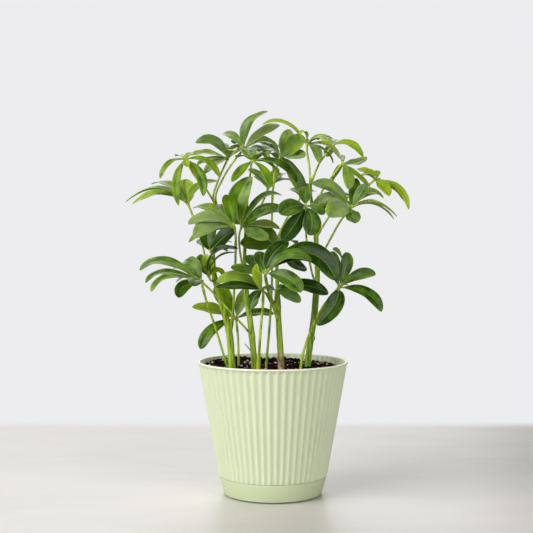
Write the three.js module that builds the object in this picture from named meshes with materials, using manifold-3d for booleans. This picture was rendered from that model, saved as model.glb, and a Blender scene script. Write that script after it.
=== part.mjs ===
// A dwarf umbrella plant in a pale green ribbed pot that stands in a plain saucer.
// Millimetres, +Z up, the front is toward -Y, and the middle of the saucer's underside is the origin.
import * as THREE from "three";
import { mergeVertices } from "three/addons/utils/BufferGeometryUtils.js";
import Module from "manifold-3d";

// Pot and saucer
const RIM_RADIUS = 75;
const RIM_TOP = 133.3;
const RIM_BAND = 2.6;
const RIB_COUNT = 60;
const RIB_DEPTH = 1.5;
const RIB_FOOT_RADIUS = 54.5;
const RIB_HEAD_RADIUS = 74.3;
const WALL = 1.9;
const FLOOR = 2.4;
const SAUCER_FOOT_RADIUS = 48.7;
const SAUCER_EDGE_RADIUS = 54.1;
const SAUCER_HEIGHT = 19.3;
const SAUCER_WALL = 2.0;
const SAUCER_FLOOR = 2.2;
const GAP = 0.3;
const ROUND_SIDES = 60;
const SAUCER_SIDES = 48;
const SLIVER = 0.01;

// Soil
const SOIL_LEVEL = 124.5;
const SOIL_RISE = 2.4;
const SOIL_BUMP = 1.3;
const SOIL_SPOKES = 24;
const SOIL_RINGS = [17, 36, 54];
const ROOT_DEPTH = 104;

// Leaves
const BLADE_THICKNESS = 0.8;
const HUB_RADIUS = 1.9;
const STALK_RADIUS = 1.05;
const STALK_SIDES = 4;
const THICK_STEM = 2.4;

// The plant is written down as it stands seen from the front, from the point EYE:
// across and up are millimetres in the upright plane through the pot's axis, and depth
// is how far a point lies behind that plane, along its own line of sight.
const EYE = [-6.35, -1155.3, 264.8];

// Every shoot: its stems as [across, up, depth, radius], then its leaves. A leaf has a stalk that
// starts inside its stem, a hub, and a row a leaflet: the point its middle passes, its tip, how far
// the tip lies behind the hub, the blade's width, and how many degrees its face turns to the front.
const SHOOTS = {
  left_shoot: {
    stems: [
      [[-38, ROOT_DEPTH, 0, 3.7], [-41, 130, 0, 3.6], [-43.4, 160, 2, 3.4], [-49, 184, 4, 3.2],
        [-54, 201, 5, 3.0], [-59, 222, 7, 2.6], [-60, 245, 10, 2.2], [-58, 268, 12, 1.9],
        [-56, 289, 12, 1.7]],
      [[-43.4, 162, 2, 2.2], [-40.6, 172, 0, 1.7], [-39.6, 184, -2, 1.3], [-38.4, 210, -6, 1.2],
        [-37.2, 240, -18, 1.2], [-37, 256, -34, 1.2], [-38, 266, -45, 1.2]],
    ],
    leaves: {
      crown_left: {
        stalk: [[-56, 287, 12], [-66, 304, -2], [-79, 320, -20]], hub: [-87, 335, -25],
        blades: [
          [-103, 331, -112.5, 315.5, -8, 7, 30], [-96, 314, -94, 288.5, -14, 8, 60],
          [-72.5, 319, -69.5, 298, -18, 9.5, 55], [-79, 324, -73, 311, 20, 6.5, 50],
          [-67, 333, -53, 317, 6, 9, 40], [-90.5, 338.5, -94, 339, -8, 4, 30],
          [-85.5, 338.5, -83, 339.5, 8, 4, 30], [-88.5, 332, -88.5, 328, -12, 5, 50],
        ],
      },
      crown_inner: {
        stalk: [[-56.5, 286, 12], [-59.5, 297, 18], [-54, 315, 22]], hub: [-45, 335, 25],
        blades: [
          [-58.6, 352.5, -77, 351, 10, 13, 48], [-64.5, 341, -82, 338.5, -14, 12, 28],
          [-61, 335, -75, 329, -24, 11, 28], [-57, 331, -68, 320, -36, 11, 38],
          [-38.5, 343, -29.5, 349.5, 28, 13, 35], [-49, 347, -54, 351, 40, 11, 15],
          [-42, 343, -37, 343, -30, 12, 20],
        ],
      },
      crown_top: {
        stalk: [[-56, 287.5, 12], [-57, 299, 8], [-50, 315, 8], [-41, 330, 10]], hub: [-29, 345, 12],
        blades: [
          [-26.2, 369, -5, 383, -10, 13, 42], [-40, 357.5, -50, 360, 30, 10, 48],
          [-11.5, 360.5, 7, 368.5, 8, 12, 42], [-8, 353, 5, 342, 16, 13, 30],
          [-24, 343, -22, 336, -34, 15, 30], [-17, 344, -6, 335, 34, 13, 20],
          [-34, 352, -38, 350, 42, 13, 10],
        ],
      },
      left_long: {
        stalk: [[-59.5, 226, 7], [-66, 234, 6], [-72, 255, 6], [-79, 276, 6]], hub: [-84.5, 290, 5],
        blades: [
          [-114, 305.5, -147, 292, -10, 14, 16], [-112, 301, -140, 290, 14, 13, 28],
          [-103, 309, -121, 310, 30, 13, 24], [-87, 303, -86, 315, 30, 17, 62],
          [-75, 308, -54, 313, 24, 10, 24], [-85, 297, -83, 303, 36, 12, 10],
        ],
      },
      left_knee: {
        stalk: [[-59.8, 233, 8], [-61, 239, 2]], hub: [-62, 243, -2],
        blades: [
          [-50, 256, -37, 263, -20, 17, 62], [-65, 254, -64.5, 265, 8, 15, 62],
          [-52, 252, -41, 252, 7, 13, 20], [-68, 250, -74, 255, 24, 12, 20],
          [-54, 246, -46, 243, 16, 12, 10],
        ],
      },
      left_low: {
        stalk: [[-58, 213, 6], [-62, 214, -6]], hub: [-64, 218, -12],
        blades: [
          [-71.5, 229, -71, 240, 12, 10, 38], [-58, 241.5, -35, 245.5, -22, 14, 32],
          [-56, 236, -37, 242, 12, 13, -18], [-66, 230, -65, 240, 6, 10, 55],
          [-56, 223, -48, 218, 3, 12, 20],
        ],
      },
      rear_left: {
        stalk: [[-58, 267, 12], [-57, 270, 36]], hub: [-56, 273, 58],
        blades: [
          [-66, 279, -75, 275, 8, 14, 20], [-48, 280, -39, 278, 10, 14, 18],
          [-57, 280, -57, 279, 42, 14, 12], [-63, 274, -67, 266, 30, 14, 25],
          [-50, 274, -45, 267, 32, 14, 20],
        ],
      },
      middle_left: {
        stalk: [[-37.2, 250, -26], [-37, 257, -36]], hub: [-38, 266, -45],
        blades: [
          [-61, 276.5, -84.5, 270, -12, 16, 38], [-60, 284.5, -80, 286, 16, 14, 30],
          [-60, 269.5, -79, 256.5, -22, 17, 44], [-63, 265, -84, 252, 4, 14, 38],
          [-43, 287, -46, 299.5, 20, 13, 50], [-49, 284, -58, 289, 34, 14, 20],
        ],
      },
    },
  },

  middle_shoot: {
    stems: [
      [[-17, ROOT_DEPTH, -14, 3.1], [-18.5, 130, -14, 3.1], [-22.3, 170, -12, 2.9], [-26.5, 198, -9, 2.6],
        [-28.3, 225, -7, 2.0], [-28, 244, -6, 1.7], [-27.3, 258, -6, 1.6], [-26.2, 274, -9, 1.4]],
    ],
    leaves: {
      low_left_upper: {
        stalk: [[-21, 158, -13], [-25.5, 164, -18], [-37, 176.5, -24], [-50, 191, -28], [-61, 203, -30]],
        hub: [-70, 211.5, -30],
        blades: [
          [-107, 232.5, -133, 224, 6, 15, 32], [-104, 217.5, -121.5, 202.5, -12, 11, 24],
          [-81, 229, -89, 233, 22, 17, 48], [-84, 218, -97, 212, 12, 12, 20],
          [-84, 223.5, -99, 226, 40, 13, 15],
        ],
      },
      crown_front: {
        stalk: [[-26.8, 266, -8], [-25.6, 284, -12], [-25, 300, -14], [-23, 316, -16]],
        hub: [-21, 333, -18],
        blades: [
          [-31.5, 323.8, -41, 312, -14, 11, 42], [-8.5, 323, -2, 306.5, -14, 10, 42],
          [-5, 331, 9, 315, -2, 8, 10], [-28, 338, -36, 336, 26, 13, 12],
          [-17, 340, -13, 341, 28, 13, 8], [6, 330, 24, 311.5, 8, 14, 38],
        ],
      },
      middle_up: {
        stalk: [[-28.2, 212, -8], [-31, 231, -14], [-33.5, 249, -20], [-33.4, 260, -26]],
        hub: [-31, 268, -28],
        blades: [
          [-35, 293, -22, 316, 2, 17, 58], [-15.5, 278.5, -2.5, 284.5, -24, 15, 48],
          [-12, 296, 9, 298.5, 10, 11, 22], [-17, 260.5, -6.5, 254, -28, 15, 55],
          [-10, 269.5, 7, 265, -8, 13, 34], [-8, 264, 2, 250, 10, 12, 42],
          [-6, 284.5, 13, 281, 16, 16, 44], [-28, 279, -22, 287, 9, 12, 50],
        ],
      },
      crown_back: {
        stalk: [[-27.4, 254, -6], [-20, 274, 20], [-12, 288.5, 42], [-8, 297, 50]], hub: [-5, 305.5, 55],
        blades: [
          [-14, 318, -25, 325, 16, 10, 25], [-8, 317, -9, 328, 22, 10, 45],
          [0, 316, 5, 326, 14, 10, 45], [8, 314, 20, 313, 12, 13, 6],
          [3, 316, 12, 321, 34, 12, 10], [-13, 316, -18, 318, 36, 12, 10],
        ],
      },
    },
  },

  woody_shoot: {
    stems: [
      [[8, ROOT_DEPTH, -6, 3.4], [8.3, 128, -6, 3.3], [7.4, 147, -6, 3.1], [6.2, 165, -6, 3.0],
        [5.6, 177, -6, 2.8], [5.8, 190, -4, 2.3], [4.6, 206, 0, 2.0], [4, 224, 6, 1.7], [4.5, 240, 14, 1.5]],
      [[5.6, 174, -7, 2.4], [1.5, 187, -12, 2.0], [-3, 199, -26, 1.7], [-6, 210, -42, 1.5],
        [-7.5, 218, -54, 1.4]],
    ],
    leaves: {
      heart: {
        stalk: [[-6.6, 213, -46], [-7.3, 217, -53]], hub: [-7.5, 221, -58],
        blades: [
          [15, 239, 39, 233.5, -6, 15, 34], [13, 216.5, 28.5, 202, -24, 16, 58],
          [34, 241.5, 63.5, 214, 14, 23, 54], [0, 240, 16, 252, 10, 15, 55],
          [-27, 224.5, -42, 226.5, -8, 13, 42], [-19, 231, -26, 239, 16, 12, 42],
          [-12, 234, -14, 243, 18, 12, 50],
        ],
      },
      heart_low: {
        stalk: [[2, 186, -11], [2.5, 196, -18]], hub: [3, 204, -24],
        blades: [
          [14.5, 200.5, 27.5, 192, -12, 13, 42], [28, 209.3, 55.5, 200.5, 12, 16, 42],
          [12, 207, 20, 204, 30, 14, 15], [-6, 208, -14, 207, 20, 12, 15],
        ],
      },
      back_shelf: {
        stalk: [[4.4, 236, 12], [5.5, 242, 10]], hub: [5, 248, 8],
        blades: [
          [-14, 250.5, -32.5, 250.5, -25, 16, 57], [19, 232.5, 33.5, 226.5, 22, 19, 50],
          [14, 254, 22, 251, 38, 15, 15], [-4, 255, -11, 256, 12, 13, 15],
          [9, 257, 11, 261, 34, 12, 10],
        ],
      },
      rear_heart: {
        stalk: [[4.4, 238, 12], [14, 243, 34], [22, 243, 48]], hub: [29, 240, 60],
        blades: [
          [38, 243, 47, 236, 8, 14, 20], [20, 244, 11, 239, 10, 14, 18],
          [30, 247, 30, 245, 42, 14, 12], [22, 240, 16, 232, 28, 14, 20],
          [36, 240, 42, 231, 28, 14, 20],
        ],
      },
      far_sprig: {
        stalk: [[4.5, 238, 14], [6.5, 260, 18], [11, 270, 20], [16.5, 280, 21], [24, 291, 22]],
        hub: [28, 297, 22],
        blades: [
          [24, 303, 17.5, 305.5, 14, 9, 20], [31, 304, 33.5, 311, 14, 11, 35],
          [36, 302, 43, 302.5, 16, 12, 20], [31, 301, 36, 300, 34, 12, 10],
        ],
      },
    },
  },

  right_shoot: {
    stems: [
      [[34, ROOT_DEPTH, 6, 3.2], [35, 130, 6, 3.1], [38.2, 156, 6, 3.1], [41.6, 180, 6, 3.3],
        [42.8, 196, 6, 3.3], [44.5, 216, 6, 2.5], [44, 240, 6, 2.3], [42.6, 262, 6, 2.1],
        [40, 282, 5, 1.9], [37.6, 300, 4, 1.6], [37.4, 316, 5, 1.3]],
      [[38.2, 154, 6, 2.2], [40.8, 155.5, 4, 1.6], [41, 158, 3.5, 1.2]],
    ],
    leaves: {
      peak_right: {
        stalk: [[37.4, 312, 5], [36, 330, 7], [34, 342, 8]], hub: [34, 350, 8],
        blades: [
          [12.5, 370, -10.5, 369, -8, 6, 14], [32, 361, 26, 359.5, -10, 8, 25],
          [47, 357.5, 60, 355, 14, 9, 16], [46, 355.5, 55, 350.5, -24, 11, 28],
          [43, 344, 46, 331, -22, 9, 48], [51.5, 343.5, 60, 330.5, 18, 9, 30],
          [53.5, 348.5, 67, 335, -6, 9, 24], [31, 354, 28, 350, 32, 11, 15],
        ],
      },
      peak_far: {
        stalk: [[37.5, 309, 5], [46, 330, 24], [53, 340, 38]], hub: [60, 349, 48],
        blades: [
          [76.5, 349.8, 90, 336.5, -10, 11, 42], [65, 353, 70, 352, 32, 11, 8],
          [52, 355, 45, 354, 30, 11, 8], [57, 344, 54, 337, 30, 11, 15],
        ],
      },
      shoulder: {
        stalk: [[40.5, 279, 5], [46.5, 298, 0], [55, 312, -4], [61, 320, -6]], hub: [69, 331, -8],
        blades: [
          [75, 318.5, 75.5, 304.5, -16, 11, 50], [83.5, 319, 97, 307, -4, 9, 30],
          [81, 330.5, 93.5, 337, 14, 13, 28], [65.5, 324, 59.5, 312.5, 26, 9, 26],
          [69.5, 336, 69, 339, 30, 5, 10],
        ],
      },
      tail_right: {
        stalk: [[43, 256, 6], [58, 280, 10], [75, 297, 12], [88, 305.5, 12], [96, 309.5, 12]],
        hub: [102, 314.5, 12],
        blades: [
          [94, 321.5, 83.5, 325, 10, 12, 30], [95, 319, 88, 318, -11, 8, 15],
          [110, 307.5, 116, 298, -18, 12, 52], [125, 306.5, 135.5, 284.5, -6, 9, 38],
          [120, 305.5, 132, 292, 14, 8, 34], [104, 321, 99, 323, 12, 6, 20],
          [104, 315.5, 106.5, 314.5, 30, 5, 10],
        ],
      },
      rear_shoulder: {
        stalk: [[40.4, 280, 5], [48, 288, 32], [54, 292, 46]], hub: [61, 294, 58],
        blades: [
          [70, 299, 79, 296, 8, 14, 18], [52, 299, 43, 295, 10, 14, 18],
          [62, 301, 62, 300, 42, 14, 12], [54, 292, 49, 284, 28, 14, 20],
          [68, 293, 74, 285, 28, 14, 20],
        ],
      },
      elbow: {
        stalk: [[44, 228, 6], [52, 245, -8], [60, 260, -20], [68, 274, -28]], hub: [77.5, 286, -32],
        blades: [
          [101, 291.5, 124, 277.5, -2, 12, 12], [100.5, 290, 121, 275, 16, 12, 14],
          [95, 301.5, 110.5, 296, 22, 13, 36], [81, 302, 83, 316, 28, 11, 48],
          [87.5, 300.5, 92.5, 310.5, 3, 12, 36], [79.5, 278.5, 82, 271, -30, 14, 50],
          [66, 285.3, 56, 276.8, -30, 20, 60], [58, 295, 38, 288.5, 10, 15, 40],
          [59, 306, 39, 311, 24, 15, 38],
        ],
      },
      collar: {
        stalk: [[44.4, 206, 6], [39, 222, -12], [34, 250, -28], [33, 272, -38]], hub: [33, 288.5, -42],
        blades: [
          [20, 287.5, 7, 280, -20, 18, 58], [22, 270, 9.5, 253, -16, 16, 60],
          [39, 273, 36, 259, -22, 17, 60], [32, 299, 34, 307, 22, 13, 40],
          [43, 286, 51, 279.5, -7, 12, 25],
        ],
      },
    },
  },

  left_stalk: {
    stems: [[[-36, ROOT_DEPTH, -16, 1.2], [-45.5, 127.5, -18, 1.2], [-56, 162, -26, 1.1],
      [-66, 192, -40, 1.1], [-70.5, 208, -52, 1.1]]],
    leaves: {
      low_left_lower: {
        stalk: [[-69, 203, -48], [-70.3, 208, -52]], hub: [-71, 213, -54],
        blades: [
          [-107, 222, -127, 211.5, -8, 12, 28], [-88, 208.5, -94, 196.5, -22, 12, 54],
          [-76, 214, -79, 208, -28, 13, 40], [-74, 210.5, -76, 208.5, 26, 9, 30],
        ],
      },
    },
  },

  low_stalk: {
    stems: [[[-34, ROOT_DEPTH, 16, 1.2], [-34.2, 130, 17, 1.2], [-35, 158, 20, 1.1], [-36.5, 172, 23, 1.1]]],
    leaves: {
      low_back: {
        stalk: [[-35.5, 163, 21], [-36.5, 172, 23]], hub: [-37, 176, 24],
        blades: [
          [-60, 184.3, -81, 187, -10, 14, 42], [-61, 164, -72, 145, -12, 13, 44],
          [-17, 181.5, 1, 180.5, 8, 13, 32], [-33, 192, -31, 206, 14, 12, 30],
          [-31, 181, -26, 182, 30, 12, 6], [-44, 192, -48, 204, 8, 16, 48],
          [-42, 181, -48, 180, 34, 12, 10],
        ],
      },
    },
  },

  yellow_stalk: {
    stems: [[[-15, ROOT_DEPTH, -24, 1.5], [-14.5, 130, -24, 1.5], [-12.5, 160, -27, 1.3],
      [-10, 190, -36, 1.2], [-9.5, 199, -43, 1.2]]],
    leaves: {
      heart_left: {
        stalk: [[-10, 194, -39], [-9.6, 199, -44]], hub: [-10, 204, -48],
        blades: [
          [-33, 217.5, -56, 211.5, -12, 14, 40], [-33, 208.5, -57, 207, 6, 13, 40],
          [-18, 197.5, -23, 185, -6, 12, 38], [-6, 203, -3, 198, -26, 11, 30],
          [-15.5, 217, -15.4, 230.5, -26, 9, 58],
        ],
      },
    },
  },

  back_stalk: {
    stems: [[[-7, ROOT_DEPTH, 10, 1.3], [-6.4, 130, 11, 1.3], [-3, 172, 14, 1.2], [-1, 211, 22, 1.2],
      [-1, 250, 28, 1.1], [-0.6, 292, 30, 1.1], [1.5, 318, 31, 1.1]]],
    leaves: {
      rear_crown: {
        stalk: [[1, 312, 31], [0, 328, 54]], hub: [-5, 340, 76],
        blades: [
          [-16, 346, -25, 342, 8, 14, 20], [5, 347, 14, 344, 10, 14, 18],
          [-5, 349, -5, 351, 42, 14, 12], [-12, 340, -18, 333, 28, 14, 20],
          [2, 340, 8, 333, 28, 14, 20],
        ],
      },
      crown_middle: {
        stalk: [[-0.4, 296, 30], [1.5, 318, 31]], hub: [7.5, 338.5, 32],
        blades: [
          [13, 352, 16.5, 364, 20, 15, 45], [19, 351, 31, 356, -20, 18, 42],
          [20, 345, 32, 340, -26, 15, 30], [-7, 352, -22, 349, 10, 14, 25],
          [22, 327, 33, 298, -18, 14, 32], [14, 345, 18, 345, 40, 14, 10],
          [-2, 344, -10, 342, 36, 14, 10],
        ],
      },
    },
  },

  right_stalk: {
    stems: [[[27, ROOT_DEPTH, -8, 1.4], [28.2, 128, -8, 1.4], [31.5, 145, -9, 1.3], [41, 170.5, -12, 1.2],
      [52, 190, -14, 1.2], [61, 201.5, -15, 1.2]]],
    leaves: {
      low_right: {
        stalk: [[52, 190, -14], [61, 201.5, -15]], hub: [66, 207, -15],
        blades: [
          [61.5, 226, 59, 243, 12, 13, 50], [74.5, 228, 73, 242, 10, 12, 50],
          [69, 233, 62, 246, 24, 7, 12], [86, 218.8, 102.7, 219.5, -6, 14, 44],
          [93.5, 201, 108.5, 182.5, -10, 14, 46], [61, 188.5, 44, 169, -16, 17, 72],
          [70, 209.5, 74, 209, 34, 8, 10],
        ],
      },
    },
  },
};

const wasm = await Module();
wasm.setup();

// A closed three.js geometry as a solid that can be joined and cut.
function solid(geometry) {
  const bare = geometry.clone();
  bare.deleteAttribute("normal");
  bare.deleteAttribute("uv");
  const merged = mergeVertices(bare, 1e-4);
  return new wasm.Manifold(new wasm.Mesh({
    numProp: 3,
    vertProperties: merged.attributes.position.array,
    triVerts: new Uint32Array(merged.index.array),
  }));
}

// The solid back as a flat-shaded mesh with its own material.
function addMesh(group, name, body, color, roughness) {
  const found = body.getMesh();
  const geometry = new THREE.BufferGeometry();
  geometry.setAttribute("position", new THREE.BufferAttribute(new Float32Array(found.vertProperties), 3));
  geometry.setIndex(new THREE.BufferAttribute(new Uint32Array(found.triVerts), 1));
  const flat = geometry.toNonIndexed();
  flat.computeVertexNormals();
  const material = new THREE.MeshStandardMaterial({ color, roughness, metalness: 0 });
  const mesh = new THREE.Mesh(flat, material);
  mesh.name = name;
  group.add(mesh);
}

// A point of the plant: it is moved from the plane through the axis along its line of sight to its depth.
function place(across, up, depth) {
  const far = 1 - depth / EYE[1];
  return new THREE.Vector3(EYE[0] + (across - EYE[0]) * far, depth, EYE[2] + (up - EYE[2]) * far);
}

// A row of points that shapes a closed skin: each ring is joined to the next, and both ends are capped.
function skin(rings) {
  const sides = rings[0].length;
  const last = (rings.length - 1) * sides;
  const faces = [];
  for (let ring = 0; ring < rings.length - 1; ring += 1) {
    for (let side = 0; side < sides; side += 1) {
      const a = ring * sides + side;
      const b = ring * sides + ((side + 1) % sides);
      faces.push(a, b, b + sides, a, b + sides, a + sides);
    }
  }
  for (let side = 1; side < sides - 1; side += 1) {
    faces.push(0, side + 1, side, last, last + side, last + side + 1);
  }
  const geometry = new THREE.BufferGeometry().setFromPoints(rings.flat());
  geometry.setIndex(faces);
  return geometry;
}

// A round stem or stalk through a row of [across, up, depth, radius], wider by the given allowance.
function shoot(row, sides, steps, allowance) {
  const points = row.map((p) => place(p[0], p[1], p[2]));
  const curve = new THREE.CatmullRomCurve3(points, false, "centripetal");
  const frames = curve.computeFrenetFrames(steps, false);
  const rings = [];
  for (let step = 0; step <= steps; step += 1) {
    const along = curve.getUtoTmapping(step / steps) * (row.length - 1);
    const before = Math.min(Math.floor(along), row.length - 2);
    const radius = THREE.MathUtils.lerp(row[before][3], row[before + 1][3], along - before) + allowance;
    const middle = curve.getPointAt(step / steps);
    if (step === 0) {
      middle.addScaledVector(frames.tangents[0], -allowance);
    }
    const ring = [];
    for (let side = 0; side < sides; side += 1) {
      const turn = (2 * Math.PI * side) / sides;
      ring.push(middle.clone()
        .addScaledVector(frames.normals[step], radius * Math.cos(turn))
        .addScaledVector(frames.binormals[step], radius * Math.sin(turn)));
    }
    rings.push(ring);
  }
  return skin(rings);
}

// A leaflet: a short stalk, then a long oval that is widest past its middle and ends in a blunt tip.
const BLADE_OUTLINE = [[0, 0], [0.18, 0.14], [0.43, 0.88], [0.75, 0.88], [1, 0.14]];
const SLIM_OUTLINE = [[0, 0], [0.36, 0.85], [0.72, 0.95], [1, 0.14]];
const SLIM_WIDTH = 12;

function leaflet(hub, row) {
  const [viaAcross, viaUp, tipAcross, tipUp, tipDepth, width, turn] = row;
  const start = place(...hub);
  const end = place(tipAcross, tipUp, hub[2] + tipDepth);
  const via = place(viaAcross, viaUp, hub[2] + tipDepth * 0.5);
  const bend = via.clone().multiplyScalar(2).addScaledVector(start, -0.5).addScaledVector(end, -0.5);
  const curve = new THREE.QuadraticBezierCurve3(start, bend, end);
  const tilt = THREE.MathUtils.degToRad(turn);
  const face = new THREE.Vector3(0, -Math.sin(tilt), Math.cos(tilt));
  const half = BLADE_THICKNESS / 2;
  const root = (HUB_RADIUS * 0.3) / start.distanceTo(bend);
  const rings = (width < SLIM_WIDTH ? SLIM_OUTLINE : BLADE_OUTLINE).map(([along, share]) => {
    const middle = curve.getPoint(Math.max(along, root));
    const ahead = curve.getTangent(Math.max(along, root));
    const side = new THREE.Vector3().crossVectors(ahead, face).normalize();
    const out = new THREE.Vector3().crossVectors(side, ahead);
    const reach = Math.max(width * share, 1.1) / 2;
    return [[-reach, half], [reach, half], [reach, -half], [-reach, -half]]
      .map(([s, o]) => middle.clone().addScaledVector(side, s).addScaledVector(out, o));
  });
  return skin(rings);
}

function leaf({ stalk, hub, blades }) {
  const row = [...stalk, hub].map((p) => [...p, STALK_RADIUS]);
  const knob = new THREE.IcosahedronGeometry(HUB_RADIUS, 0).translate(...place(...hub).toArray());
  const leaflets = blades.map((blade) => leaflet(hub, blade));
  return wasm.Manifold.union([shoot(row, STALK_SIDES, row.length, 0), knob, ...leaflets].map(solid));
}

const part = new THREE.Group();
part.name = "potted_umbrella_plant";

// The ribbed wall: a cone whose outline has two points on each rib's crest and one in each groove.
const RIB_CREST = [0.12, 0.74];
const RIB_GROOVE = 0.93;

function ribbedCone(bottom, top, crests, depth) {
  const rings = [bottom, top].map((z, end) => {
    const ring = [];
    for (let rib = 0; rib < RIB_COUNT; rib += 1) {
      for (const [share, inward] of [[RIB_CREST[0], 0], [RIB_CREST[1], 0], [RIB_GROOVE, depth]]) {
        const turn = (2 * Math.PI * (rib + share)) / RIB_COUNT;
        const radius = crests[end] - inward;
        ring.push(new THREE.Vector3(radius * Math.cos(turn), radius * Math.sin(turn), z));
      }
    }
    return ring;
  });
  return solid(skin(rings));
}

function turned(profile, segments) {
  const points = profile.map(([radius, z]) => new THREE.Vector2(radius, z));
  return solid(new THREE.LatheGeometry(points, segments).rotateX(Math.PI / 2));
}

const bandBottom = RIM_TOP - RIM_BAND;
const potFoot = SAUCER_FLOOR + GAP;
const wallFoot = SAUCER_HEIGHT + GAP;
const saucerSlope = (SAUCER_EDGE_RADIUS - SAUCER_FOOT_RADIUS) / SAUCER_HEIGHT;
const potFootRadius = SAUCER_FOOT_RADIUS + saucerSlope * potFoot - SAUCER_WALL - GAP;
const potNeckRadius = SAUCER_FOOT_RADIUS + saucerSlope * wallFoot - SAUCER_WALL - GAP;
const ribSlope = (RIB_HEAD_RADIUS - RIB_FOOT_RADIUS) / (bandBottom - wallFoot);

const wall = ribbedCone(wallFoot, bandBottom + 0.4, [RIB_FOOT_RADIUS, RIB_HEAD_RADIUS], RIB_DEPTH);
const rimBand = turned([
  [0, bandBottom], [RIM_RADIUS - 0.4, bandBottom], [RIM_RADIUS, bandBottom + 0.5],
  [RIM_RADIUS, RIM_TOP - 0.5], [RIM_RADIUS - 0.5, RIM_TOP], [0, RIM_TOP],
], ROUND_SIDES);
const cup = turned([
  [0, potFoot], [potFootRadius, potFoot], [potNeckRadius, wallFoot + 0.4], [0, wallFoot + 0.4],
], ROUND_SIDES);
const hollowFoot = turned([
  [0, potFoot + FLOOR], [potFootRadius - WALL, potFoot + FLOOR],
  [potNeckRadius - WALL, wallFoot + 1.5], [0, wallFoot + 1.5],
], ROUND_SIDES);
const innerFoot = potNeckRadius - WALL + 0.2;
const innerHead = RIB_HEAD_RADIUS - WALL + ribSlope;
const hollowWall = turned([
  [0, wallFoot + 1], [innerFoot, wallFoot + 1], [innerHead, RIM_TOP + 0.5], [0, RIM_TOP + 0.5],
], ROUND_SIDES);
const pot = wall.add(rimBand).add(cup).subtract(hollowFoot).subtract(hollowWall);
addMesh(part, "pot", pot.simplify(SLIVER), 0xcfd9b8, 0.55);

const saucer = turned([
  [0, 0], [SAUCER_FOOT_RADIUS - 0.9, 0], [SAUCER_FOOT_RADIUS, 0.9],
  [SAUCER_EDGE_RADIUS - 0.1, SAUCER_HEIGHT - 0.3], [SAUCER_EDGE_RADIUS - 0.4, SAUCER_HEIGHT],
  [SAUCER_EDGE_RADIUS - SAUCER_WALL, SAUCER_HEIGHT],
  [SAUCER_FOOT_RADIUS - SAUCER_WALL + saucerSlope * SAUCER_FLOOR, SAUCER_FLOOR], [0, SAUCER_FLOOR],
], SAUCER_SIDES);
addMesh(part, "saucer", saucer, 0xc6d1ae, 0.5);

// The soil: a plug that follows the pot's inside, with an uneven top that is higher at the back.
function soilHeight(radius, turn) {
  const uneven = Math.sin(turn * 5 + radius * 0.21) + Math.cos(turn * 9 - radius * 0.37);
  const x = radius * Math.cos(turn);
  const y = radius * Math.sin(turn);
  return SOIL_LEVEL + SOIL_RISE * (y / 70) + SOIL_RISE * 0.4 * (x / 70) + SOIL_BUMP * 0.5 * uneven;
}

function soilRing(radius, height) {
  const ring = [];
  for (let spoke = 0; spoke < SOIL_SPOKES; spoke += 1) {
    const turn = (2 * Math.PI * spoke) / SOIL_SPOKES;
    const z = height === null ? soilHeight(radius, turn) : height;
    ring.push(new THREE.Vector3(radius * Math.cos(turn), radius * Math.sin(turn), z));
  }
  return ring;
}

const innerSlope = (innerHead - innerFoot) / (RIM_TOP - wallFoot - 0.5);
const soilFootRadius = potFootRadius - WALL - GAP - 0.2;
const soilNeckRadius = innerFoot - RIB_DEPTH * 0.6 - GAP;
const soilTopRadius = innerFoot + innerSlope * (SOIL_LEVEL - 5 - wallFoot) - RIB_DEPTH * 0.6 - GAP;
const soilRings = [
  soilRing(soilFootRadius, potFoot + FLOOR + GAP), soilRing(soilNeckRadius, wallFoot + 1),
  soilRing(soilTopRadius, null), ...SOIL_RINGS.slice().reverse().map((radius) => soilRing(radius, null)),
];
let soil = solid(skin(soilRings));

// The plant: each shoot's stems joined with its leaves, standing in a hole of its own in the soil.
const TONES = {
  left_shoot: 0x4f8a2c, middle_shoot: 0x457f28, woody_shoot: 0x3c7426, right_shoot: 0x48822a,
  left_stalk: 0x4a842c, low_stalk: 0x6c9a2e, yellow_stalk: 0x447c28, back_stalk: 0x3f7826,
  right_stalk: 0x3a7024,
};

function stem(row, allowance) {
  const sides = row[0][3] > THICK_STEM ? 8 : 6;
  return solid(shoot(row, sides, row.length + 1, allowance));
}

for (const [name, { stems, leaves }] of Object.entries(SHOOTS)) {
  const bodies = [...stems.map((row) => stem(row, 0)), ...Object.values(leaves).map(leaf)];
  addMesh(part, name, wasm.Manifold.union(bodies).simplify(0.1), TONES[name], 0.5);
  soil = soil.subtract(stem(stems[0], GAP));
}
addMesh(part, "soil", soil, 0x2a1c14, 0.95);

export default part;
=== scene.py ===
import math
import random

import bpy
import numpy as np
from mathutils import Matrix, Vector, noise


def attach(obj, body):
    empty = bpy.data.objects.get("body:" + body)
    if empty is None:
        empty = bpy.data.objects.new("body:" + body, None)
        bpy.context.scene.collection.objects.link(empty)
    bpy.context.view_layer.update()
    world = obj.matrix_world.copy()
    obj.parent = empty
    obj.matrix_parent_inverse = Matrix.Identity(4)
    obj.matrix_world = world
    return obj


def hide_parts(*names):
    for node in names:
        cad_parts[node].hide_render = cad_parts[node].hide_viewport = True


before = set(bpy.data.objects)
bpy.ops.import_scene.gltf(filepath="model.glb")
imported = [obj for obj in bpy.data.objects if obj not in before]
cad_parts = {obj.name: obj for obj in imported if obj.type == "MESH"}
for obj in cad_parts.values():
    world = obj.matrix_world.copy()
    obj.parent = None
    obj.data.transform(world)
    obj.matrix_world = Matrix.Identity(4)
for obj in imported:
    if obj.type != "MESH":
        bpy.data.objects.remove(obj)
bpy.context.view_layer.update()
bpy.ops.object.select_all(action="DESELECT")

# Camera
# It stands in front of the plant, a little above the leaves' middle, and looks slightly down.
EYE = Vector((-0.00635, -1.15534, 0.26478))
DOWN_ANGLE = 0.032
FOCAL_PIXELS = 1157.1
FRAME_PIXELS = 533
SENSOR_WIDTH = 36

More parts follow.
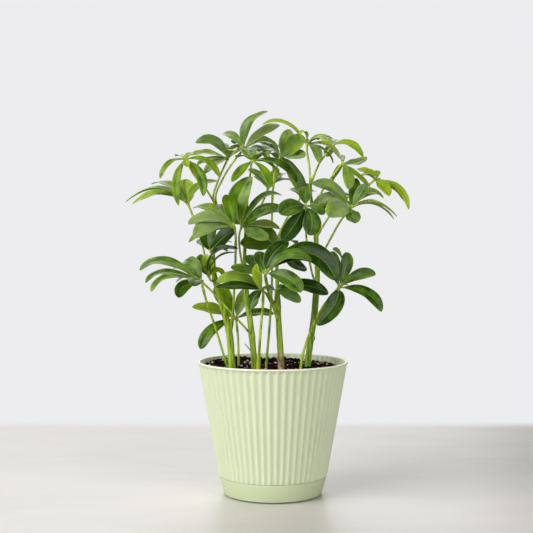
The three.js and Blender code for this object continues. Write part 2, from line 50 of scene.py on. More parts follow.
bpy.ops.object.camera_add(location=EYE, rotation=(math.pi / 2 - DOWN_ANGLE, 0, 0))
camera = bpy.context.object
camera.name = "camera"
camera.data.sensor_width = SENSOR_WIDTH
camera.data.lens = SENSOR_WIDTH * FOCAL_PIXELS / FRAME_PIXELS
camera.data.clip_start = 0.05
bpy.context.scene.camera = camera

# Floor and studio light
# A pale warm-grey floor fades into a near-white background, which looks brighter than the light it gives. A
# wide window lamp stands at the left, a softer one at the front right, and a large one behind the leaves.
FLOOR_RADIUS = 6
FLOOR_LIGHT = (0.615, 0.590, 0.552, 1)
FLOOR_DARK = (0.56, 0.538, 0.503, 1)
FLOOR_ROUGHNESS = 0.42
MARBLING_STRETCH = (0.6, 1.7, 1)
BACKGROUND = (0.845, 0.845, 0.865, 1)
FADE_FROM = 0.37
FADE_TO = 0.44
FADE_SLOPE = 0.5
SEEN_STRENGTH = 1.0
GIVEN_STRENGTH = 0.17
LAMP_AIM = Vector((0, 0, 0.17))
LAMPS = {
    "window": {"at": (-2.1, -1.45, 1.5), "size": 2.5, "power": 108},
    "fill": {"at": (1.1, -1.6, 0.75), "size": 1.3, "power": 20},
    "rear_glow": {"at": (-0.2, 1.6, 1.1), "size": 1.8, "power": 20},
}


def feed(tree, node, inputs):
    """Fills a node's inputs, by name or by place: an output is linked to it, a value is set in it."""
    for key, value in inputs.items():
        if isinstance(value, bpy.types.NodeSocket):
            tree.links.new(value, node.inputs[key])
        else:
            node.inputs[key].default_value = value


def add_node(tree, kind, inputs, **settings):
    """Adds a shader node with its settings and inputs, and gives back its outputs."""
    node = tree.nodes.new("ShaderNode" + kind)
    for key, value in settings.items():
        setattr(node, key, value)
    feed(tree, node, inputs)
    return node.outputs


def work_out(tree, operation, *values):
    """The result of one sum. Its values are outputs or plain numbers."""
    return add_node(tree, "Math", dict(enumerate(values)), operation=operation)["Value"]


def clouds(tree, where, scale, detail, roughness=0.5, distortion=0):
    """A soft cloudy pattern over a place."""
    return add_node(tree, "TexNoise", {
        "Vector": where, "Scale": scale, "Detail": detail, "Roughness": roughness, "Distortion": distortion,
    })["Fac"]


def between(tree, value, span, ends=(0, 1), **settings):
    """Turns a span of a value into the span between two ends, and holds it beyond them."""
    return add_node(tree, "MapRange", {
        "Value": value, "From Min": span[0], "From Max": span[1], "To Min": ends[0], "To Max": ends[1],
    }, **settings)["Result"]


def blend(tree, share, first, second, **settings):
    """A colour that turns from the first to the second by a share."""
    return add_node(tree, "MixRGB", {"Fac": share, "Color1": first, "Color2": second}, **settings)["Color"]


def background_strength(tree):
    """Full strength for what the camera sees, and less for what lights the object."""
    seen = add_node(tree, "LightPath", {})["Is Camera Ray"]
    return between(tree, seen, (0, 1), (GIVEN_STRENGTH, SEEN_STRENGTH))


bpy.ops.mesh.primitive_circle_add(vertices=96, radius=FLOOR_RADIUS, fill_type="NGON")
floor = bpy.context.object
floor.name = "floor"
floor_paint = bpy.data.materials.new("floor_paint")
floor_paint.use_nodes = True
tree = floor_paint.node_tree
where = add_node(tree, "TexCoord", {})["Object"]
along = add_node(tree, "SeparateXYZ", {"Vector": where})
aside = work_out(tree, "MULTIPLY", work_out(tree, "ABSOLUTE", along["X"]), FADE_SLOPE)
nearer = work_out(tree, "MULTIPLY", along["Y"], -FADE_SLOPE)
distance = work_out(tree, "MAXIMUM", work_out(tree, "MAXIMUM", aside, nearer), along["Y"])
fade = between(tree, distance, (FADE_FROM, FADE_TO), interpolation_type="SMOOTHSTEP")
stretched = add_node(tree, "Mapping", {"Vector": where, "Scale": MARBLING_STRETCH})["Vector"]
marbling = between(tree, clouds(tree, stretched, 6, 7, 0.62, 0.6), (0.30, 0.55))
paint = tree.nodes["Principled BSDF"]
feed(tree, paint, {
    "Roughness": FLOOR_ROUGHNESS, "Base Color": blend(tree, marbling, FLOOR_DARK, FLOOR_LIGHT),
})
glow = add_node(tree, "Emission", {"Color": BACKGROUND, "Strength": background_strength(tree)})["Emission"]
shown = add_node(tree, "MixShader", {"Fac": fade, 1: paint.outputs["BSDF"], 2: glow})["Shader"]
feed(tree, tree.nodes["Material Output"], {"Surface": shown})
floor.data.materials.append(floor_paint)

world = bpy.data.worlds.new("studio")
world.use_nodes = True
tree = world.node_tree
feed(tree, tree.nodes["Background"], {"Color": BACKGROUND, "Strength": background_strength(tree)})
bpy.context.scene.world = world
bpy.context.scene.view_settings.view_transform = "Standard"

for name, lamp in LAMPS.items():
    stand = Vector(lamp["at"])
    bpy.ops.object.light_add(type="AREA", location=stand)
    light = bpy.context.object
    light.name = name
    light.rotation_euler = (LAMP_AIM - stand).to_track_quat("-Z", "Y").to_euler()
    light.data.size = lamp["size"]
    light.data.energy = lamp["power"]
    light.visible_camera = False

# Saucer
# A plain round dish moulded in the pot's pale green. It stands on a slightly smaller foot, so a thin dark
# gap runs under its rounded edge. It is drawn up from its underside, over the lip and down inside.
SAUCER_SIDES = 180
SAUCER_FOOT_RADIUS = 0.0487
SAUCER_EDGE_RADIUS = 0.0541
SAUCER_HEIGHT = 0.0193
SAUCER_WALL = 0.0020
SAUCER_FLOOR = 0.0022
SAUCER_LIFT = 0.0015
SAUCER_SLOPE = (SAUCER_EDGE_RADIUS - SAUCER_FOOT_RADIUS) / SAUCER_HEIGHT
SAUCER_PROFILE = [
    (SAUCER_FOOT_RADIUS - 0.0072, 0), (SAUCER_FOOT_RADIUS - 0.0068, SAUCER_LIFT * 0.3),
    (SAUCER_FOOT_RADIUS - 0.0062, SAUCER_LIFT * 0.9), (SAUCER_FOOT_RADIUS - 0.0056, SAUCER_LIFT),
    (SAUCER_FOOT_RADIUS - 0.0002, SAUCER_LIFT), (SAUCER_FOOT_RADIUS + 0.0003, SAUCER_LIFT + 0.0002),
    (SAUCER_FOOT_RADIUS + 0.0005, SAUCER_LIFT + 0.0005),
    (SAUCER_FOOT_RADIUS + 0.0006, SAUCER_LIFT + 0.0010),
    (SAUCER_FOOT_RADIUS + SAUCER_SLOPE * 0.004, 0.004),
    (SAUCER_EDGE_RADIUS - 0.00018, SAUCER_HEIGHT - 0.0007),
    (SAUCER_EDGE_RADIUS - 0.0003, SAUCER_HEIGHT - 0.0002), (SAUCER_EDGE_RADIUS - 0.0007, SAUCER_HEIGHT),
    (SAUCER_EDGE_RADIUS - SAUCER_WALL + 0.0004, SAUCER_HEIGHT),
    (SAUCER_EDGE_RADIUS - SAUCER_WALL, SAUCER_HEIGHT - 0.0004),
    (SAUCER_FOOT_RADIUS - SAUCER_WALL + SAUCER_SLOPE * 0.004, 0.004),
    (SAUCER_FOOT_RADIUS - SAUCER_WALL - 0.001, SAUCER_FLOOR + 0.0002),
    (SAUCER_FOOT_RADIUS - 0.006, SAUCER_FLOOR),
]
SAUCER_GREEN = (0.51, 0.57, 0.36, 1)
SAUCER_SHADE = (0.49, 0.55, 0.345, 1)
# A painted highlight: the paler colour that the rim's top takes, where light falls on it.
RIM_HIGHLIGHT_COLOR = (0.80, 0.80, 0.64, 1)
RIM_HIGHLIGHT_BLEND = 0.0006
PLASTIC = {"IOR": 1.46, "Subsurface Weight": 0.30, "Subsurface Radius": (0.9, 1.0, 0.7),
           "Subsurface Scale": 0.0025}
SHARP_ANGLE = math.radians(40)


def draw_up(name, sides, profile):
    """A closed round body: a disc whose face is drawn on through each (radius, height) of the profile."""
    radius, height = profile[0]
    bpy.ops.mesh.primitive_circle_add(
        vertices=sides, radius=radius, fill_type="NGON", location=(0, 0, height))
    body = bpy.context.object
    body.name = name
    bpy.ops.object.transform_apply(location=True)
    bpy.ops.object.mode_set(mode="EDIT")
    bpy.ops.mesh.select_all(action="SELECT")
    for next_radius, next_height in profile[1:]:
        wider = next_radius / radius
        bpy.ops.mesh.extrude_region_move(TRANSFORM_OT_translate={"value": (0, 0, next_height - height)})
        bpy.ops.transform.resize(value=(wider, wider, 1), center_override=(0, 0, next_height))
        radius, height = next_radius, next_height
    bpy.ops.mesh.select_all(action="SELECT")
    bpy.ops.mesh.normals_make_consistent(inside=False)
    bpy.ops.object.mode_set(mode="OBJECT")
    bpy.ops.object.shade_smooth_by_angle(angle=SHARP_ANGLE)
    return body


def new_look(name, given):
    """An empty group for a surface: it takes what is given and puts out colour, roughness and normal."""
    look = bpy.data.node_groups.new(name, "ShaderNodeTree")
    for socket, kind in given.items():
        look.interface.new_socket(socket, in_out="INPUT", socket_type="NodeSocket" + kind)
    for socket, kind in (("Color", "Color"), ("Roughness", "Float"), ("Normal", "Vector")):
        look.interface.new_socket(socket, in_out="OUTPUT", socket_type="NodeSocket" + kind)
    return look, look.nodes.new("NodeGroupInput").outputs


def close_look(look, color, roughness, relief, strength, depth):
    """Puts out what a look has worked out, with its relief turned into normals."""
    bump = add_node(look, "Bump", {"Height": relief, "Strength": strength, "Distance": depth})
    feed(look, look.nodes.new("NodeGroupOutput"), {
        "Color": color, "Roughness": roughness, "Normal": bump["Normal"],
    })


def new_finish(name, look, values, substance):
    """A material: a look with its own values, on the substance under it."""
    material = bpy.data.materials.new(name)
    material.use_nodes = True
    tree = material.node_tree
    shown = add_node(tree, "Group", values, node_tree=look)
    feed(tree, tree.nodes["Principled BSDF"], {
        **substance, "Base Color": shown["Color"], "Roughness": shown["Roughness"],
        "Normal": shown["Normal"],
    })
    return material


# Satin moulded plastic: a faint cloudy tint, a very fine even grain, and a painted highlight, a paler band
# along the rim's top, above a height.
moulded_plastic, given = new_look("moulded_plastic", {
    "Shade": "Color", "Light": "Color", "Satin": "Float", "Highlight height": "Float",
})
where = add_node(moulded_plastic, "TexCoord", {})["Object"]
tint = clouds(moulded_plastic, where, 22, 3)
height = add_node(moulded_plastic, "SeparateXYZ", {"Vector": where})["Z"]
over_lip = work_out(moulded_plastic, "SUBTRACT", height, given["Highlight height"])
# The painted highlight on the rim's top, blended in over a short height.
rim_highlight = between(moulded_plastic, over_lip, (0, RIM_HIGHLIGHT_BLEND))
tinted = blend(moulded_plastic, tint, given["Shade"], given["Light"])
uneven = between(moulded_plastic, tint, (0, 1), (-0.05, 0.06))
satin = work_out(moulded_plastic, "ADD", given["Satin"], uneven)
close_look(moulded_plastic, blend(moulded_plastic, rim_highlight, tinted, RIM_HIGHLIGHT_COLOR), satin,
           clouds(moulded_plastic, where, 2600, 2), strength=0.10, depth=0.0001)

saucer = draw_up("saucer_dish", SAUCER_SIDES, SAUCER_PROFILE)
saucer.data.materials.append(new_finish("saucer_plastic", moulded_plastic, {
    "Shade": SAUCER_SHADE, "Light": SAUCER_GREEN, "Satin": 0.45, "Highlight height": SAUCER_HEIGHT,
}, PLASTIC))
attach(saucer, "root")
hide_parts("saucer")

# Pot
# A tapered plastic pot with sixty upright pleats, the same on both sides of its thin wall, under a plain
# rolled rim. Its smooth foot stands inside the saucer, and the pleated wall overhangs the saucer's lip.
RIB_COUNT = 60
RIB_POINTS = 12
RIB_DEPTH = 0.0016
RIM_RADIUS = 0.075
RIM_TOP = 0.1333
RIM_BAND = 0.0019
RIB_FOOT_RADIUS = 0.0545
RIB_HEAD_RADIUS = 0.0743
POT_WALL = 0.0019
POT_FLOOR = 0.0024
GAP = 0.0003
POT_FOOT = SAUCER_FLOOR + GAP
WALL_FOOT = SAUCER_HEIGHT + GAP
BAND_BOTTOM = RIM_TOP - RIM_BAND
FOOT_RADIUS = SAUCER_FOOT_RADIUS + SAUCER_SLOPE * POT_FOOT - SAUCER_WALL - GAP
NECK_RADIUS = SAUCER_FOOT_RADIUS + SAUCER_SLOPE * WALL_FOOT - SAUCER_WALL - GAP
POT_PROFILE = [
    (FOOT_RADIUS - 0.001, POT_FOOT), (FOOT_RADIUS, POT_FOOT + 0.001),
    (NECK_RADIUS - 0.0001, WALL_FOOT - 0.0002), (RIB_FOOT_RADIUS - 0.0006, WALL_FOOT),
    (RIB_FOOT_RADIUS, WALL_FOOT + 0.0005), (RIB_FOOT_RADIUS + 0.0008, WALL_FOOT + 0.004),
    (RIB_HEAD_RADIUS - 0.0009, BAND_BOTTOM - 0.005), (RIB_HEAD_RADIUS - 0.0002, BAND_BOTTOM - 0.0008),
    (RIB_HEAD_RADIUS, BAND_BOTTOM), (RIM_RADIUS - 0.0002, BAND_BOTTOM + 0.0002),
    (RIM_RADIUS, BAND_BOTTOM + 0.0006), (RIM_RADIUS, RIM_TOP - 0.0007),
    (RIM_RADIUS - 0.0002, RIM_TOP - 0.0002), (RIM_RADIUS - 0.0007, RIM_TOP),
    (RIM_RADIUS - 0.0018, RIM_TOP), (RIM_RADIUS - 0.0023, RIM_TOP - 0.0002),
    (RIM_RADIUS - 0.0026, RIM_TOP - 0.0008), (RIB_HEAD_RADIUS - POT_WALL, BAND_BOTTOM - 0.0004),
    (RIB_HEAD_RADIUS - POT_WALL - 0.0009, BAND_BOTTOM - 0.005),
    (RIB_FOOT_RADIUS - POT_WALL + 0.0008, WALL_FOOT + 0.004), (NECK_RADIUS - POT_WALL, WALL_FOOT + 0.001),
    (FOOT_RADIUS - POT_WALL, POT_FOOT + POT_FLOOR + 0.001),
    (FOOT_RADIUS - POT_WALL - 0.001, POT_FOOT + POT_FLOOR),
]
POT_GREEN = (0.62, 0.675, 0.47, 1)
POT_SHADE = (0.60, 0.655, 0.455, 1)
# How far under the rim's top the painted highlight reaches.
RIM_HIGHLIGHT_DEPTH = 0.0013


def held(share):
    """A share held between 0 and 1."""
    return min(max(share, 0), 1)


def pleat(turn):
    """How far into its groove the pleated wall is at an angle, from 0 on a crest to 1 in a groove."""
    share = (turn / (2 * math.pi) * RIB_COUNT) % 1
    return held((abs(2 * share - 1) - 0.12) / 0.76)


pot = draw_up("ribbed_pot", RIB_COUNT * RIB_POINTS, POT_PROFILE)
for vertex in pot.data.vertices:
    x, y, z = vertex.co
    start = held((z - WALL_FOOT + 0.0003) / 0.0008)
    end = held((BAND_BOTTOM - 0.0001 - z) / 0.0012) ** 0.5
    radius = math.hypot(x, y)
    new_radius = radius - RIB_DEPTH * pleat(math.atan2(y, x)) * start * end
    vertex.co = (x * new_radius / radius, y * new_radius / radius, z)
pot.data.materials.append(new_finish("pot_plastic", moulded_plastic, {
    "Shade": POT_SHADE, "Light": POT_GREEN, "Satin": 0.42, "Highlight height": RIM_TOP - RIM_HIGHLIGHT_DEPTH,
}, PLASTIC))
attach(pot, "root")
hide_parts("pot")

# Potting soil
# Dark peaty mix that fills the pot to a finger's width under the rim, a little higher at the back. Its top
# is lumpy, and its side follows the flutes of the pot's inner wall.
SOIL_LEVEL = 0.1245
SOIL_RISE = 0.0024
RISE_REACH = 0.07
SOIL_BUMP = 0.0013
CALM_MIDDLE = 20
SOIL_LUMPS = 0.0019
LUMP_SCALE = 190
SOIL_BANK = 0.0054
BANK_REACH = 71
BANK_TURN = 2.45
SOIL_SIDES = RIB_COUNT * 6
SOIL_RINGS = 42
SOIL_TOP_RADIUS = 0.0712
SOIL_EDGE = 0.004
EDGE_DIP = 0.0008
SOIL_FOOT = POT_FOOT + POT_FLOOR + GAP
SOIL_SEED = 4
EARTH = {"IOR": 1.05}


def soil_height(x, y):
    """How high the soil stands, apart from its lumps: uneven, rising to the back and banked at its left.

    The radius is in millimetres, for the bumps, the bank and the calm middle.
    """
    radius = math.hypot(x, y) * 1000
    turn = math.atan2(y, x)
    uneven = math.sin(turn * 5 + radius * 0.21) + math.cos(turn * 9 - radius * 0.37)
    slope = SOIL_RISE * (y / RISE_REACH) + SOIL_RISE * 0.4 * (x / RISE_REACH)
    bank = SOIL_BANK * max(math.cos(turn - BANK_TURN), 0) ** 2 * (radius / BANK_REACH) ** 4
    return SOIL_LEVEL + slope + bank + SOIL_BUMP * 0.5 * uneven * min(radius / CALM_MIDDLE, 1)


# Damp organic grains: mottled from dark to light, dull, with a coarse and a fine roughness.
earth, given = new_look("earth", {"Dark": "Color", "Light": "Color", "Grain": "Float"})
patches = clouds(earth, add_node(earth, "TexCoord", {})["Object"], given["Grain"], 8, 0.7)
mottled = blend(earth, between(earth, patches, (0.35, 0.72)), given["Dark"], given["Light"])
dampness = between(earth, patches, (0, 1), (0.62, 0.95))
close_look(earth, mottled, dampness, patches, strength=0.7, depth=0.0006)

soil = draw_up("potting_soil", SOIL_SIDES, [
    (FOOT_RADIUS - POT_WALL - 0.0012, SOIL_FOOT), (NECK_RADIUS - POT_WALL - GAP, WALL_FOOT + 0.001),
    (RIB_FOOT_RADIUS - POT_WALL + 0.0002, WALL_FOOT + 0.004),
    (SOIL_TOP_RADIUS - 0.0006, SOIL_LEVEL - 0.004),
] + [(SOIL_TOP_RADIUS * (1 - ring / SOIL_RINGS) ** 0.9, SOIL_LEVEL) for ring in range(SOIL_RINGS)])
for vertex in soil.data.vertices:
    x, y, z = vertex.co
    radius = math.hypot(x, y)
    edge = 1 if z < SOIL_LEVEL - 0.001 else held((radius - SOIL_TOP_RADIUS + SOIL_EDGE) / SOIL_EDGE)
    flute = RIB_DEPTH * pleat(math.atan2(y, x)) * edge if z > WALL_FOOT + 0.002 else 0
    x, y = x * (radius - flute) / radius, y * (radius - flute) / radius
    if z > SOIL_LEVEL - 0.0001:
        lumps = noise.fractal(Vector((x, y, 0)) * LUMP_SCALE, 0.9, 2.1, 5)
        z = soil_height(x, y) + SOIL_LUMPS * lumps - EDGE_DIP * edge
    vertex.co = (x, y, z)
soil.data.materials.append(new_finish("damp_soil", earth, {
    "Dark": (0.0010, 0.0006, 0.0005, 1), "Light": (0.011, 0.006, 0.005, 1), "Grain": 420,
}, EARTH))
bpy.ops.object.shade_smooth()
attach(soil, "root")
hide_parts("soil")

# Crumbs, bark chips and pale grains
# What lies loose on the soil: peat crumbs, slivers of bark and a few pale mineral grains.
# Each kind is one lump, copied at every size and turn, and half sunk in the soil.
LITTER_REACH = 0.0685
LITTER_GRAIN = 700
LITTER = {
    "peat_crumbs": {"count": 1000, "size": (0.0006, 0.0024), "shape": (1, 0.8, 0.7), "sink": 0.1,
                    "dark": (0.0012, 0.0008, 0.0008, 1), "light": (0.055, 0.023, 0.018, 1)},
    "bark_chips": {"count": 130, "size": (0.0013, 0.0034), "shape": (1, 0.34, 0.16), "sink": -0.4,
                   "dark": (0.04, 0.015, 0.008, 1), "light": (0.36, 0.17, 0.095, 1)},
    "pale_grains": {"count": 165, "size": (0.0006, 0.0019), "shape": (1, 0.7, 0.55), "sink": -0.6,
                    "dark": (0.45, 0.36, 0.33, 1), "light": (0.92, 0.86, 0.83, 1)},
}


def pick(bits, lead):
    """Selects these bits alone, and makes the lead one active."""
    bpy.ops.object.select_all(action="DESELECT")
    for bit in bits:
        bit.select_set(True)
    bpy.context.view_layer.objects.active = lead


def join_bits(name, bits, lead):
    """Makes many bits one piece, in the place of the lead one."""
    pick(bits, lead)
    bpy.ops.object.join()
    piece = bpy.context.object
    piece.name = name
    return piece


draw = random.Random(SOIL_SEED)
for name, kind in LITTER.items():
    bpy.ops.mesh.primitive_ico_sphere_add(subdivisions=1, radius=1.12)
    lump = bpy.context.object
    for vertex in lump.data.vertices:
        rough = 1 + 0.35 * noise.noise(vertex.co * 1.7 + Vector((len(name), 0, 0)))
        vertex.co = [part * rough * stretch for part, stretch in zip(vertex.co, kind["shape"])]
    copies = []
    for _ in range(kind["count"]):
        reach = LITTER_REACH * math.sqrt(draw.random())
        turn = draw.uniform(0, 2 * math.pi)
        size = draw.uniform(*kind["size"])
        x, y = reach * math.cos(turn), reach * math.sin(turn)
        lift = size * kind["shape"][2] * (0.3 - kind["sink"])
        spot = Matrix.Translation((x, y, soil_height(x, y) + lift))
        turned = Matrix.Rotation(draw.uniform(0, 6.3), 4, "Z")
        tipped = Matrix.Rotation(draw.uniform(-0.7, 0.7), 4, "X")
        grain = lump.data.copy()
        grain.transform(spot @ (turned @ tipped) @ Matrix.Scale(size, 4))
        copies.append(bpy.data.objects.new(name, grain))
        bpy.context.collection.objects.link(copies[-1])
    bpy.data.objects.remove(lump)
    litter = join_bits(name, copies, copies[0])
    litter.data.materials.append(new_finish(name, earth, {
        "Dark": kind["dark"], "Light": kind["light"], "Grain": LITTER_GRAIN,
    }, EARTH))
    bpy.ops.object.shade_smooth()
    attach(litter, "root")
    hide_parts("soil")

# Where the plant stands
# The plant is written down in millimetres as it is seen from the front. Across and up are measured in the
# upright plane through the pot's axis, and depth is how far behind it a point lies on its line of sight.
ROOT_DEPTH = 104
MM = 0.001
SIGHT = Vector((-6.35, -1155.3, 264.8))


def place(across, up, depth):
    """A point of the plant, moved from the plane through the axis along its line of sight to its depth."""
    far = 1 - depth / SIGHT.y
    return Vector((SIGHT.x + (across - SIGHT.x) * far, depth, SIGHT.z + (up - SIGHT.z) * far)) * MM


